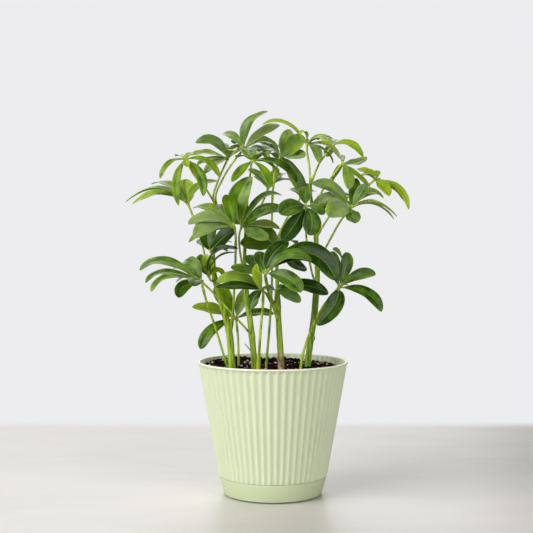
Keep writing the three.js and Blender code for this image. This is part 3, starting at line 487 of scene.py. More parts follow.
# Each shoot has its stems as [across, up, depth, radius] and its leaves. A leaf has a stalk that starts in
# its stem, a hub, and a row a leaflet: the point its middle passes, its tip, how far the tip lies behind
# the hub, the blade's width, and how many degrees its face turns to the front.
SHOOTS = {
  "left_shoot": {
    "stems": [
      [[-38, ROOT_DEPTH, 0, 3.7], [-41, 130, 0, 3.6], [-43.4, 160, 2, 3.4], [-49, 184, 4, 3.2],
        [-54, 201, 5, 3.0], [-59, 222, 7, 2.6], [-60, 245, 10, 2.2], [-58, 268, 12, 1.9],
        [-56, 289, 12, 1.7]],
      [[-43.4, 162, 2, 2.7], [-41.2, 171, 0, 2.1], [-40, 179, -1, 1.7], [-39.6, 186, -2, 1.3],
        [-38.4, 210, -6, 1.2], [-37.2, 240, -18, 1.2], [-37, 256, -34, 1.2], [-38, 266, -45, 1.2]],
    ],
    "leaves": {
      "crown_left": {
        "stalk": [[-56, 287, 12], [-66, 304, -2], [-79, 320, -20]], "hub": [-87, 335, -25],
        "blades": [
          [-103, 331, -112.5, 315.5, -8, 7, 30], [-96, 314, -94, 288.5, -14, 8, 60],
          [-72.5, 319, -69.5, 298, -18, 9.5, 55], [-79, 324, -73, 311, 20, 6.5, 50],
          [-67, 333, -53, 317, 6, 9, 40], [-91.5, 338.5, -97, 338, 24, 6.5, 20],
          [-83, 339.8, -76.5, 340, 18, 7, 20], [-86.5, 331, -86, 327, -12, 7, 45],
        ],
      },
      "crown_inner": {
        "stalk": [[-56.5, 286, 12], [-59.5, 297, 18], [-54, 315, 22]], "hub": [-45, 335, 25],
        "blades": [
          [-58.6, 352.5, -77, 351, 10, 13, 48], [-64.5, 341, -82, 338.5, -14, 12, 28],
          [-61, 335, -75, 329, -24, 11, 28], [-57, 331, -68, 320, -36, 11, 38],
          [-38.5, 343, -29.5, 349.5, 28, 13, 35], [-49, 347, -54, 351, 40, 11, 15],
          [-42, 343, -37, 343, -30, 12, 20],
        ],
      },
      "crown_top": {
        "stalk": [[-56, 287.5, 12], [-57, 299, 8], [-50, 315, 8], [-41, 330, 10]], "hub": [-29, 345, 12],
        "blades": [
          [-25.0, 368.6, -5, 382.2, -10, 13, 42], [-40, 357.5, -50, 360, 30, 10, 48],
          [-11.5, 360.5, 7, 368.5, 8, 12, 42], [-8, 353, 5, 342, 16, 13, 30],
          [-24, 343, -22, 336, -34, 15, 30], [-17, 344, -6, 335, 34, 13, 20],
          [-34, 352, -38, 350, 42, 13, 10],
        ],
      },
      "left_long": {
        "stalk": [[-59.5, 226, 7], [-66, 234, 6], [-72, 255, 6], [-79, 276, 6]], "hub": [-84.5, 290, 5],
        "blades": [
          [-114, 305.5, -147, 292, -10, 14, 16], [-112, 301, -140, 290, 14, 13, 28],
          [-103, 309, -121, 310, 30, 13, 24], [-87, 303, -86, 315, 30, 17, 62],
          [-75, 308, -54, 313, 24, 10, 24], [-85, 297, -83, 303, 36, 12, 10],
        ],
      },
      "left_knee": {
        "stalk": [[-59.8, 233, 8], [-61, 239, 2]], "hub": [-62, 243, -2],
        "blades": [
          [-50, 256, -37, 263, -20, 17, 62], [-65, 254, -64.5, 265, 8, 15, 62],
          [-52, 252, -41, 252, 7, 13, 20], [-68, 250, -74, 255, 24, 12, 20],
          [-54, 246, -46, 243, 16, 12, 10],
        ],
      },
      "left_low": {
        "stalk": [[-58, 213, 6], [-62, 214, -6]], "hub": [-64, 218, -12],
        "blades": [
          [-71.5, 229, -71, 240, 12, 10, 38], [-58, 241.5, -35, 245.5, -22, 14, 32],
          [-56, 236, -37, 242, 12, 13, -18], [-66, 230, -65, 240, 6, 10, 55],
          [-56, 223, -48, 218, 3, 12, 20],
        ],
      },
      "rear_left": {
        "stalk": [[-58, 267, 12], [-57, 270, 36]], "hub": [-56, 273, 58],
        "blades": [
          [-66, 279, -75, 275, 8, 14, 20], [-46, 277, -32, 270, 4, 15, 36],
          [-57, 280, -57, 279, 42, 14, 12], [-63, 274, -67, 266, 30, 14, 25],
          [-50, 274, -45, 267, 32, 14, 20],
        ],
      },
      "middle_left": {
        "stalk": [[-37.2, 250, -26], [-37, 257, -36]], "hub": [-38, 266, -45],
        "blades": [
          [-61, 276.5, -84.5, 270, -12, 16, 38], [-60, 284.5, -80, 286, 16, 14, 30],
          [-60, 269.5, -79, 256.5, -22, 17, 44], [-63, 265, -84, 252, 4, 14, 38],
          [-43, 287, -46, 299.5, 20, 13, 50], [-49, 284, -58, 289, 34, 14, 20],
        ],
      },
    },
  },
  "middle_shoot": {
    "stems": [
      [[-17, ROOT_DEPTH, -14, 3.1], [-18.5, 130, -14, 3.1], [-22.3, 170, -12, 2.9], [-26.5, 198, -9, 2.6],
        [-28.3, 225, -7, 2.0], [-28, 244, -6, 1.7], [-27.3, 258, -6, 1.6], [-26.2, 274, -9, 1.4]],
    ],
    "leaves": {
      "low_left_upper": {
        "stalk": [[-21, 158, -13], [-25.5, 164, -18], [-37, 176.5, -24], [-50, 191, -28], [-61, 203, -30]],
        "hub": [-70, 211.5, -30],
        "blades": [
          [-107, 232.5, -133, 224, 6, 15, 32], [-104, 217.5, -121.5, 202.5, -12, 11, 24],
          [-81, 229, -89, 233, 22, 17, 48], [-84, 218, -97, 212, 12, 12, 20],
          [-84, 223.5, -99, 226, 40, 13, 15],
        ],
      },
      "crown_front": {
        "stalk": [[-26.8, 266, -8], [-25.6, 284, -12], [-25, 300, -14], [-23, 316, -16]],
        "hub": [-21, 333, -18],
        "blades": [
          [-31.5, 323.8, -41, 312, -14, 9.5, 38], [-8.5, 323, -2, 306.5, -14, 8.5, 36],
          [-5, 331, 9, 315, -2, 8, 10], [-28, 338, -36, 336, 26, 13, 12],
          [-17, 340, -13, 341, 28, 13, 8], [6, 330, 24, 311.5, 8, 14, 38],
        ],
      },
      "middle_up": {
        "stalk": [[-28.2, 212, -8], [-31, 231, -14], [-33.5, 249, -20], [-33.4, 260, -26]],
        "hub": [-31, 268, -28],
        "blades": [
          [-35, 293, -20.5, 317, 2, 20, 60], [-15.5, 278.5, -2.5, 284.5, -24, 15, 48],
          [-12, 296, 9, 298.5, 10, 11, 22], [-17, 260.5, -6.5, 254, -28, 15, 55],
          [-10, 269.5, 7, 265, -8, 13, 34], [-8, 264, 2, 250, 10, 12, 42],
          [-6, 284.5, 13, 281, 16, 16, 44], [-28, 279, -22, 287, 9, 12, 50],
        ],
      },
      "crown_back": {
        "stalk": [[-27.4, 254, -6], [-20, 274, 20], [-12, 288.5, 42], [-8, 297, 50]],
        "hub": [-5, 305.5, 55],
        "blades": [
          [-14, 318, -25, 325, 16, 10, 25], [-8, 317, -9, 328, 22, 10, 45],
          [0, 316, 5, 326, 14, 10, 45], [8, 314, 20, 313, 12, 13, 6],
          [3, 316, 12, 321, 34, 12, 10], [-13, 316, -18, 318, 36, 12, 10],
        ],
      },
    },
  },
  "woody_shoot": {
    "stems": [
      [[8, ROOT_DEPTH, -6, 3.4], [8.3, 128, -6, 3.3], [7.4, 147, -6, 3.1], [6.2, 165, -6, 3.0],
        [5.6, 177, -6, 2.8], [5.8, 190, -4, 2.3], [4.6, 206, 0, 2.0], [4, 224, 6, 1.7],
          [4.5, 240, 14, 1.5]],
      [[5.6, 174, -7, 2.4], [1.5, 187, -12, 2.0], [-3, 199, -26, 1.7], [-6, 210, -42, 1.5],
        [-7.5, 218, -54, 1.4]],
    ],
    "leaves": {
      "heart": {
        "stalk": [[-6.6, 213, -46], [-7.3, 217, -53]], "hub": [-7.5, 221, -58],
        "blades": [
          [15, 239, 39, 233.5, -6, 15, 34], [13, 216.5, 28.5, 202, -24, 16, 58],
          [34, 241.5, 63.5, 214, 14, 23, 54], [0, 240, 16, 252, 10, 15, 55],
          [-27, 224.5, -42, 226.5, -8, 13, 42], [-19, 231, -26, 239, 16, 12, 42],
          [-12, 234, -14, 243, 18, 12, 50],
        ],
      },
      "heart_low": {
        "stalk": [[2, 186, -11], [2.5, 196, -18]], "hub": [3, 204, -24],
        "blades": [
          [14.5, 200.5, 27.5, 192, -12, 13, 42], [28, 209.3, 55.5, 200.5, 12, 16, 42],
          [12, 206, 20, 201, 26, 12, 38], [-6, 206, -14, 202, 18, 10, 38],
        ],
      },
      "back_shelf": {
        "stalk": [[4.4, 236, 12], [5.5, 242, 10]], "hub": [5, 248, 8],
        "blades": [
          [-14, 250.5, -32.5, 250.5, -25, 16, 57], [19, 232.5, 33.5, 226.5, 22, 19, 50],
          [14, 254, 22, 251, 38, 15, 15], [-4, 255, -11, 256, 12, 13, 15],
          [9, 257, 11, 261, 34, 12, 10],
        ],
      },
      "rear_heart": {
        "stalk": [[4.4, 238, 12], [14, 243, 34], [22, 243, 48]], "hub": [29, 240, 60],
        "blades": [
          [38, 243, 47, 236, 8, 14, 20], [20, 244, 11, 239, 10, 14, 18],
          [30, 247, 30, 245, 42, 14, 12], [22, 240, 16, 232, 28, 14, 20],
          [36, 240, 42, 231, 28, 14, 20],
        ],
      },
      "far_sprig": {
        "stalk": [[4.5, 238, 14], [6.5, 260, 18], [11, 270, 20], [16.5, 280, 21], [24, 291, 22]],
        "hub": [28, 297, 22],
        "blades": [
          [24, 303, 17.5, 305.5, 14, 9, 20], [31, 304, 33.5, 311, 14, 11, 35],
          [36, 302, 43, 302.5, 16, 12, 20], [31, 301, 36, 300, 34, 12, 10],
        ],
      },
    },
  },
  "right_shoot": {
    "stems": [
      [[34, ROOT_DEPTH, 6, 3.2], [35, 130, 6, 3.1], [38.2, 156, 6, 3.1], [41.6, 180, 6, 3.3],
        [42.8, 196, 6, 3.3], [44.5, 216, 6, 2.5], [44, 240, 6, 2.3], [42.6, 262, 6, 2.1],
        [40, 282, 5, 1.9], [37.6, 300, 4, 1.6], [37.4, 316, 5, 1.3]],
      [[38.2, 154, 6, 2.2], [40.8, 155.5, 4, 1.6], [41, 158, 3.5, 1.2]],
    ],
    "leaves": {
      "peak_right": {
        "stalk": [[37.4, 312, 5], [36, 330, 7], [34, 342, 8]], "hub": [34, 350, 8],
        "blades": [
          [12.5, 370, -10.5, 369, -8, 9, 30], [32, 361, 26, 359.5, -10, 8, 25],
          [47, 357.5, 60, 355, 14, 9, 16], [46, 355.5, 55, 350.5, -24, 11, 28],
          [43, 344, 46, 331, -22, 9, 48], [51.5, 343.5, 60, 330.5, 18, 9, 30],
          [53.5, 348.5, 67, 335, -6, 9, 24], [31, 354, 28, 350, 32, 11, 15],
        ],
      },
      "peak_far": {
        "stalk": [[37.5, 309, 5], [46, 330, 24], [53, 340, 38]], "hub": [60, 349, 48],
        "blades": [
          [76.5, 349.8, 90, 336.5, -10, 11, 42], [65, 353, 70, 352, 32, 11, 8],
          [52, 355, 45, 354, 30, 11, 8], [57, 344, 54, 337, 30, 11, 15],
        ],
      },
      "shoulder": {
        "stalk": [[40.5, 279, 5], [46.5, 298, 0], [55, 312, -4], [61, 320, -6]], "hub": [69, 331, -8],
        "blades": [
          [75, 318.5, 75.5, 304.5, -16, 11, 50], [83.5, 319, 97, 307, -4, 9, 30],
          [81, 330.5, 93.5, 337, 14, 13, 28], [65.5, 324, 59.5, 312.5, 26, 9, 26],
          [69.5, 336, 69, 339, 30, 5, 10],
        ],
      },
      "tail_right": {
        "stalk": [[43, 256, 6], [58, 280, 10], [75, 297, 12], [88, 305.5, 12], [96, 309.5, 12]],
        "hub": [102, 314.5, 12],
        "blades": [
          [94, 321.5, 83.5, 325, 10, 12, 30], [95, 319, 88, 318, -11, 8, 15],
          [110, 307.5, 116, 298, -18, 12, 52], [125, 306.5, 135.5, 284.5, -6, 8, 26],
          [120, 305.5, 132, 292, 14, 8, 34], [104, 321, 99, 323, 12, 6, 20],
          [104, 315.5, 106.5, 314.5, 30, 5, 10],
        ],
      },
      "rear_shoulder": {
        "stalk": [[40.4, 280, 5], [48, 288, 32], [54, 292, 46]], "hub": [61, 294, 58],
        "blades": [
          [70, 299, 79, 296, 8, 14, 18], [52, 299, 43, 295, 10, 14, 18],
          [62, 301, 62, 300, 42, 14, 12], [54, 292, 49, 284, 28, 14, 20],
          [68, 293, 74, 285, 28, 14, 20],
        ],
      },
      "elbow": {
        "stalk": [[44, 228, 6], [52, 245, -8], [60, 260, -20], [68, 274, -28]], "hub": [77.5, 286, -32],
        "blades": [
          [101, 291.5, 124, 277.5, -2, 12, 12], [100.5, 290, 121, 275, 16, 12, 14],
          [95, 301.5, 110.5, 296, 22, 13, 36], [81, 302, 83, 316, 28, 11, 48],
          [87.5, 300.5, 92.5, 310.5, 3, 12, 36], [79.5, 278.5, 82, 271, -30, 14, 50],
          [66, 285.3, 56, 276.8, -30, 20, 60], [58, 295, 38, 288.5, 10, 15, 40],
          [59, 306, 39, 311, 24, 15, 38],
        ],
      },
      "collar": {
        "stalk": [[44.4, 206, 6], [39, 222, -12], [34, 250, -28], [33, 272, -38]], "hub": [33, 288.5, -42],
        "blades": [
          [20, 287.5, 7, 280, -20, 18, 58], [22, 270, 9.5, 253, -16, 16, 60],
          [39, 273, 36, 259, -22, 17, 60], [32, 299, 34, 307, 22, 13, 40],
          [43, 286, 51, 279.5, -7, 12, 25],
        ],
      },
    },
  },
  "left_stalk": {
    "stems": [[[-36, ROOT_DEPTH, -16, 1.2], [-45.5, 127.5, -18, 1.2], [-56, 162, -26, 1.1],
      [-66, 192, -40, 1.1], [-70.5, 208, -52, 1.1]]],
    "leaves": {
      "low_left_lower": {
        "stalk": [[-69, 203, -48], [-70.3, 208, -52]], "hub": [-71, 213, -54],
        "blades": [
          [-107, 222, -127, 211.5, -8, 12, 28], [-88, 208.5, -94, 196.5, -22, 12, 54],
          [-76, 214, -79, 208, -28, 13, 40], [-74, 210.5, -76, 208.5, 26, 9, 30],
        ],
      },
    },
  },
  "low_stalk": {
    "stems": [[[-34, ROOT_DEPTH, 16, 1.2], [-34.2, 130, 17, 1.2],
      [-35, 158, 20, 1.1], [-36.5, 172, 23, 1.1]]],
    "leaves": {
      "low_back": {
        "stalk": [[-35.5, 163, 21], [-36.5, 172, 23]], "hub": [-37, 176, 24],
        "blades": [
          [-60, 184.3, -81, 187, -10, 14, 42], [-61, 164, -72, 145, -12, 13, 44],
          [-17, 181.5, 1, 180.5, 8, 13, 32], [-31.5, 192, -26, 207, 14, 12, 36],
          [-31, 179, -27, 178, 30, 5, 20], [-49, 196, -55, 211, 8, 17, 50],
          [-42, 179, -46, 177, 34, 5, 20],
        ],
      },
    },
  },
  "yellow_stalk": {
    "stems": [[[-15, ROOT_DEPTH, -24, 2.1], [-14.5, 130, -24, 2.0],
      [-13.6, 143, -25, 1.4], [-12.5, 160, -27, 1.3],
      [-10, 190, -36, 1.2], [-9.5, 199, -43, 1.2]]],
    "leaves": {
      "heart_left": {
        "stalk": [[-10, 194, -39], [-9.6, 199, -44]], "hub": [-10, 204, -48],
        "blades": [
          [-33, 217.5, -56, 211.5, -12, 14, 40], [-33, 208.5, -57, 207, 6, 13, 40],
          [-18, 197.5, -23, 185, -6, 12, 38], [-6.5, 199, -2.5, 191, 20, 8, 36],
          [-15.5, 217, -15.4, 230.5, -26, 9, 58],
        ],
      },
    },
  },
  "back_stalk": {
    "stems": [[[-7, ROOT_DEPTH, 10, 1.3], [-6.4, 130, 11, 1.3], [-3, 172, 14, 1.2], [-1, 211, 22, 1.2],
      [-1, 250, 28, 1.1], [-0.6, 292, 30, 1.1], [1.5, 318, 31, 1.1]]],
    "leaves": {
      "rear_crown": {
        "stalk": [[1, 312, 31], [0, 328, 54]], "hub": [-5, 340, 76],
        "blades": [
          [-16, 346, -25, 342, 8, 14, 20], [5, 347, 14, 344, 10, 14, 18],
          [-5, 349, -5, 351, 42, 14, 12], [-12, 340, -18, 333, 28, 14, 20],
          [2, 340, 8, 333, 28, 14, 20],
        ],
      },
      "crown_middle": {
        "stalk": [[-0.4, 296, 30], [1.5, 318, 31]], "hub": [7.5, 338.5, 32],
        "blades": [
          [13, 352, 16.5, 364.5, 20, 14, 45], [19, 347, 32.5, 355, -20, 22, 54],
          [20, 338.5, 32, 337, -26, 16, 42], [-7, 352, -22, 349, 10, 14, 25],
          [19.5, 322, 33, 297.5, -18, 14, 36], [14, 345, 18, 345, 40, 14, 10],
          [-2, 344, -10, 342, 36, 14, 10],
        ],
      },
    },
  },
  "right_stalk": {
    "stems": [[[27, ROOT_DEPTH, -8, 1.4], [28.2, 128, -8, 1.4], [31.5, 145, -9, 1.3], [41, 170.5, -12, 1.2],
      [52, 190, -14, 1.2], [61, 201.5, -15, 1.2]]],
    "leaves": {
      "low_right": {
        "stalk": [[52, 190, -14], [61, 201.5, -15]], "hub": [66, 207, -15],
        "blades": [
          [61.5, 226, 59, 243, 12, 13, 50], [73.4, 228, 72.6, 242, 10, 12, 50],
          [70, 232, 60.3, 246.5, 24, 5.5, 50], [86, 218.8, 102.7, 219.5, -6, 14, 44],
          [93.5, 201, 108.5, 182.5, -10, 14, 46], [61, 188.5, 44, 169, -16, 17, 72],
          [70, 209.5, 74, 209, 34, 8, 10],
        ],
      },
    },
  },
}

# How young the leaflets are, from 0, old and dark, to 1, new and yellow-green: one value for a whole leaf,
# or one for each of its leaflets. The values also carry painted shade and light: leaflets that lie in shade
# are set darker, below 0 for the darkest, and some are set lighter than their age, as painted light.
YOUTH_AND_SHADE = {
    "crown_left": [0.46, 0.52, 0.35, 0.7, 0.59, 0.6, 0.65, 0.65],
    "crown_inner": [0.25, 0.58, 0.5, 0.75, 0.8, 0.45, 0.75],
    "crown_top": [0.29, 0.42, 0.66, 0.55, 0.43, 0.4, 0.45], "left_long": [0.55, 0.68, 0.4, 0.85, 0.55, 0.5],
    "left_knee": [-0.12, 0.1, 0.12, 0.12, 0.15], "left_low": [0.38, -0.05, 0.17, 0.7, 0.76],
    "rear_left": [0.15, 0.45, 0.15, 0.15, 0.15],
    "middle_left": [0.48, 0.53, 0.43, 0.52, 0.25, 0.17], "low_left_upper": [0.37, 0.42, 0.25, 0.3, 0.3],
    "crown_front": [0.42, 0.42, 0.54, 0.6, 0.76, 0.16],
    "middle_up": [0.32, 0.13, 0.33, 0.28, 0.88, 0.52, 0.34, 0.55],
    "crown_back": 0.7, "heart": [0.29, 0.22, 0.04, -0.04, 0.18, 0.06, 0.14],
    "heart_low": [0.14, 0.04, 0.15, 0.09],
    "back_shelf": [0.4, 0.09, 0.1, 0.1, 0.1], "rear_heart": 0.1, "far_sprig": 0.55,
    "peak_right": [0.85, 0.9, 0.75, 0.64, 0.36, 0.5, 0.9, 0.5], "peak_far": [0.73, 0.55, 0.5, 0.8],
    "shoulder": [0.43, 0.66, 0.4, 0.6, 0.4], "tail_right": [0.94, 0.73, 0.78, 0.8, 0.85, 0.8, 0.75],
    "rear_shoulder": 0.15, "elbow": [0.8, 0.8, 0.58, 0.27, 0.27, 0.33, 0.56, 0.31, 0.26],
    "collar": [0.18, -0.12, 0.04, 0.19, 0.24], "low_left_lower": [0.3, 0.1, 0.16, 0.3],
    "low_back": [0.95, 0.23, 0.36, 0.78, 0.45, 0.44, 0.35], "heart_left": [0.62, 0.05, 0.1, 0.7, 0.84],
    "rear_crown": 0.15, "crown_middle": [0.48, 0.49, 0.48, 0.1, 0.16, 0.3, 0.05],
    "low_right": [-0.03, 0.14, 0.35, 0.26, 0.17, 0.08, 0.2],
}

# How much painted sheen, a pale grey-green that stands for the sky's light reflected off the upper leaves,
# greys each leaflet, set out in the same way. A leaf that isn't named has the bare value below.
BARE_SHEEN = 0.0
PAINTED_SHEEN = {
    "crown_inner": [0.15, 0.3, 0.2, 0.4, 0.3, 0.15, 0.18],
    "crown_top": [0.11, 0.12, 0.5, 0.25, 0.03, 0.2, 0.1],
    "left_long": 0.1, "middle_left": [0.27, 0.16, 0.3, 0.02, 0.0, 0.03],
    "low_left_upper": [0.1, 0.02, 0.25, 0.03, 0.03],
    "middle_up": [0.0, 0.0, 0.05, 0.18, 0.28, 0.04, 0.08, 0.15], "crown_back": 0.28,
    "heart": [0.06, 0.02, 0.0, 0.0, 0.04, 0.03, 0.04], "collar": [0.06, 0.0, 0.05, 0.08, 0.04],
    "heart_low": [0.13, 0.0, 0.0, 0.0], "peak_right": [0.1, 0.12, 0.1, 0.02, 0.2, 0.02, 0.22, 0.1],
    "shoulder": [0.08, 0.0, 0.12, 0.25, 0.03],
    "elbow": [0.15, 0.1, 0.17, 0.02, 0.02, 0.05, 0.35, 0.35, 0.15],
    "low_back": [0.08, 0.0, 0.0, 0.3, 0.0, 0.0, 0.0], "heart_left": [0.1, 0.0, 0.0, 0.0, 0.02],
    "crown_middle": [0.45, 0.08, 0.32, 0.0, 0.2, 0.0, 0.0],
    "low_right": [0.12, 0.05, 0.3, 0.05, 0.0, 0.0, 0.0],
}

# Stems and leaf stalks
# Round shoots that taper upward, slightly swollen where a leaf leaves them and ringed by old leaf scars.
# Each is a smooth line through its points with a round section.
LINE_STEP = 0.0016
LIME_RISE = 2.2
STEM_TONES = {
    "left_shoot": 0.60, "middle_shoot": 0.55, "woody_shoot": 0.45, "right_shoot": 0.25, "left_stalk": 0.55,
    "low_stalk": 0.8, "yellow_stalk": 1.0, "back_stalk": 0.65, "right_stalk": 0.8,
}
DEEP_GREEN = (0.10, 0.29, 0.010, 1)
LIME = (0.50, 0.65, 0.025, 1)
BARK = (0.52, 0.34, 0.22, 1)
BARK_CRACK = (0.16, 0.09, 0.03, 1)
FLECK = (0.30, 0.30, 0.14, 1)
RAGGED_BARK = 0.016
STREAK_STRETCH = (1, 1, 0.05)
GREEN_WOOD = {"IOR": 1.36, "Subsurface Weight": 0.08, "Subsurface Radius": (0.5, 0.9, 0.2),
              "Subsurface Scale": 0.001}


def smooth_line(rows):
    """Closely spaced points on the smooth line through the rows' places, each with its radius in metres."""
    points = [place(*row[:3]) for row in rows]
    points = [2 * points[0] - points[1]] + points + [2 * points[-1] - points[-2]]
    line = []
    for index in range(len(rows) - 1):
        a, b, c, d = points[index:index + 4]
        ab, bc, cd = (max((q - p).length ** 0.5, 1e-6) for p, q in ((a, b), (b, c), (c, d)))
        steps = max(2, round((c - b).length / LINE_STEP))
        last = index == len(rows) - 2
        for step in range(steps + last):
            u = step / steps
            t = bc * u
            first = [a + (b - a) * ((t + ab) / ab), b + (c - b) * (t / bc), c + (d - c) * ((t - bc) / cd)]
            second = [first[0] + (first[1] - first[0]) * ((t + ab) / (ab + bc)),
                      first[1] + (first[2] - first[1]) * (t / (bc + cd))]
            spot = second[0] + (second[1] - second[0]) * u
            line.append((spot, (rows[index][3] * (1 - u) + rows[index + 1][3] * u) * MM))
    return line


def mark(mesh, key, values):
    """Writes a value a vertex into a mesh, for its material to read."""
    mesh.attributes.new(key, "FLOAT", "POINT").data.foreach_set("value", values)


def round_shoot(name, line, resolution, tone):
    """The closed round body along a line of (point, radius), with its tone as an attribute."""
    path = bpy.data.curves.new(name, "CURVE")
    path.dimensions = "3D"
    path.bevel_depth = 1
    path.bevel_resolution = resolution
    path.use_fill_caps = True
    spline = path.splines.new("POLY")
    spline.points.add(len(line) - 1)
    for point, (spot, radius) in zip(spline.points, line):
        point.co = (*spot, 1)
        point.radius = radius
    shoot = bpy.data.objects.new(name, path)
    bpy.context.collection.objects.link(shoot)
    pick([shoot], shoot)
    bpy.ops.object.convert(target="MESH")
    shoot = bpy.context.object
    bpy.ops.object.shade_smooth()
    mark(shoot.data, "tone", [tone + LIME_RISE * max(vertex.co.z - SOIL_LEVEL, 0)
                              for vertex in shoot.data.vertices])
    return shoot


# Young green stem skin that darkens to bark below a height, streaked along its length and flecked.
green_bark, given = new_look("green_bark", {
    "Deep": "Color", "Lime": "Color", "Old": "Color", "Old from": "Float", "Old to": "Float",
})
where = add_node(green_bark, "TexCoord", {})["Object"]
stretched = add_node(green_bark, "Mapping", {"Vector": where, "Scale": STREAK_STRETCH})["Vector"]
streaks = clouds(green_bark, stretched, 620, 3)
flecks = add_node(green_bark, "TexVoronoi", {"Vector": stretched, "Scale": 420})["Distance"]
tone = add_node(green_bark, "Attribute", {}, attribute_name="tone")["Fac"]
green = blend(green_bark, tone, given["Deep"], given["Lime"])
contrast = between(green_bark, streaks, (0.36, 0.58), (0.20, 1))
streaked = blend(green_bark, 0.85, green, contrast, blend_type="MULTIPLY")
patch = clouds(green_bark, where, 160, 5)
height = add_node(green_bark, "SeparateXYZ", {"Vector": where})["Z"]
ragged = work_out(green_bark, "MULTIPLY_ADD", patch, RAGGED_BARK, height)
turning = (given["Old from"], given["Old to"])
age = between(green_bark, ragged, turning, (1, 0), interpolation_type="SMOOTHSTEP")
cracked = blend(green_bark, between(green_bark, patch, (0.44, 0.60)), given["Old"], BARK_CRACK)
barked = blend(green_bark, age, streaked, cracked)
fleck_share = work_out(green_bark, "MULTIPLY", between(green_bark, flecks, (0.10, 0.22), (1, 0)), 0.35)
close_look(green_bark, blend(green_bark, fleck_share, barked, FLECK),
           between(green_bark, age, (0, 1), (0.45, 0.75)), streaks, strength=0.35, depth=0.0003)


def new_bark(name, deep, lime, old, old_from, old_to):
    """A stem's skin, which is green above the heights between which it turns old."""
    return new_finish(name, green_bark, {
        "Deep": deep, "Lime": lime, "Old": old,
        "Old from": old_from + RAGGED_BARK / 2, "Old to": old_to + RAGGED_BARK / 2,
    }, GREEN_WOOD)


stem_skin = new_bark("green_stem", DEEP_GREEN, LIME, (0.22, 0.25, 0.07, 1), 0.112, 0.124)
woody_skin = new_bark("woody_stem", DEEP_GREEN, LIME, BARK, 0.131, 0.150)
stalk_skin = new_bark("leaf_stalk", (0.16, 0.36, 0.015, 1), (0.52, 0.68, 0.045, 1), LIME, 0.0, 0.001)

# Dry twigs and root threads
# Two dead leaf stalks stand in the soil behind the stems, and fine pale roots lie loose on it.
TWIGS = [
    [[-12, 124, 9, 0.6], [-17, 134, 9, 0.55], [-22, 143, 8, 0.5], [-28, 150.4, 8, 0.35]],
    [[-24, 124, 20, 0.4], [-25, 131, 19, 0.35], [-29, 136, 18, 0.25]],
]
THREAD_COUNT = 56
THREAD_RADIUS = 0.00024
THREAD_STEP = 0.0011
THREAD_LIFT = (0.0009, 0.0016)
DRY_GRAIN = 500

twigs = [round_shoot("dry_twigs", smooth_line(rows), 2, 0.5) for rows in TWIGS]
draw = random.Random(SOIL_SEED + 1)
threads = []
for _ in range(THREAD_COUNT):
    reach = LITTER_REACH * math.sqrt(draw.random())
    turn = draw.uniform(0, 2 * math.pi)
    x, y = reach * math.cos(turn), reach * math.sin(turn)
    heading = draw.uniform(0, 2 * math.pi)
    curl = draw.uniform(-0.5, 0.5)
    line = []
    for step in range(draw.randint(5, 11)):
        line.append((Vector((x, y, soil_height(x, y) + draw.uniform(*THREAD_LIFT))), THREAD_RADIUS))
        heading += curl + draw.uniform(-0.3, 0.3)
        ahead = math.hypot(x + THREAD_STEP * math.cos(heading), y + THREAD_STEP * math.sin(heading))
        if ahead > LITTER_REACH:
            heading += math.pi
        x += THREAD_STEP * math.cos(heading)
        y += THREAD_STEP * math.sin(heading)
    threads.append(round_shoot("root_threads", line, 1, 0.5))
for name, bits, dark, light in (
    ("dry_twigs", twigs, (0.006, 0.004, 0.003, 1), (0.05, 0.03, 0.02, 1)),
    ("root_threads", threads, (0.30, 0.21, 0.15, 1), (0.80, 0.69, 0.60, 1)),
):
    loose = join_bits(name, bits, bits[0])
    loose.data.materials.append(new_finish(name, earth, {
        "Dark": dark, "Light": light, "Grain": DRY_GRAIN,
    }, EARTH))
    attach(loose, "root")
    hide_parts("soil")

# Leaf blades
# A leaflet is a waxy oval blade on its own short stalk, folded a little along its midrib, with a groove
# above the rib and a ridge under it. One blank blade is copied for every leaflet and laid along its arc.
BLADE_POINTS = 24
BLADE_CUTS = 25
BLADE_THICKNESS = 0.00055
STALK_SHARE = 0.078
BASE_POWER = 0.80
ODD_BASES = {"low_right_2": 6.0, "low_right_5": 0.55}
LEAFLET_STALK = 0.00092
HUB_REACH = 0.00057
HALF_WIDTH = 0.53
FOLD = (0.34, 0.56)
WAVE = (0.03, 0.09)
WAVE_COUNT = (1.3, 2.4)
TWIST = (-13, 13)
RIB_WIDTH = 0.00055
RIB_GROOVE = 0.00016
RIB_RIDGE = 0.00042
VEIN_COUNT = 11
AGES = [(0.0, (0.011, 0.040, 0.0014, 1)), (0.30, (0.068, 0.150, 0.0045, 1)),
        (0.62, (0.205, 0.325, 0.0095, 1)), (1.0, (0.370, 0.490, 0.0160, 1))]
OLD_RIB = (0.24, 0.35, 0.045, 1)
NEW_RIB = (0.36, 0.48, 0.06, 1)
# Painted sheen: the pale grey-green laid over the leaves where they would mirror the bright sky.
SHEEN_GREY = (0.30, 0.36, 0.20, 1)
# A painted highlight along the blade's edge, over a margin a little paler of its own.
MARGIN_HIGHLIGHT_GREEN = (0.30, 0.42, 0.08, 1)
UNDERSIDE_GREEN = (0.17, 0.33, 0.045, 1)
LEAFLET_STALK_GREEN = (0.27, 0.39, 0.045, 1)
LEAF_FLESH = {"IOR": 1.32, "Subsurface Weight": 0.14, "Subsurface Radius": (0.6, 0.9, 0.08),
              "Subsurface Scale": 0.0014}

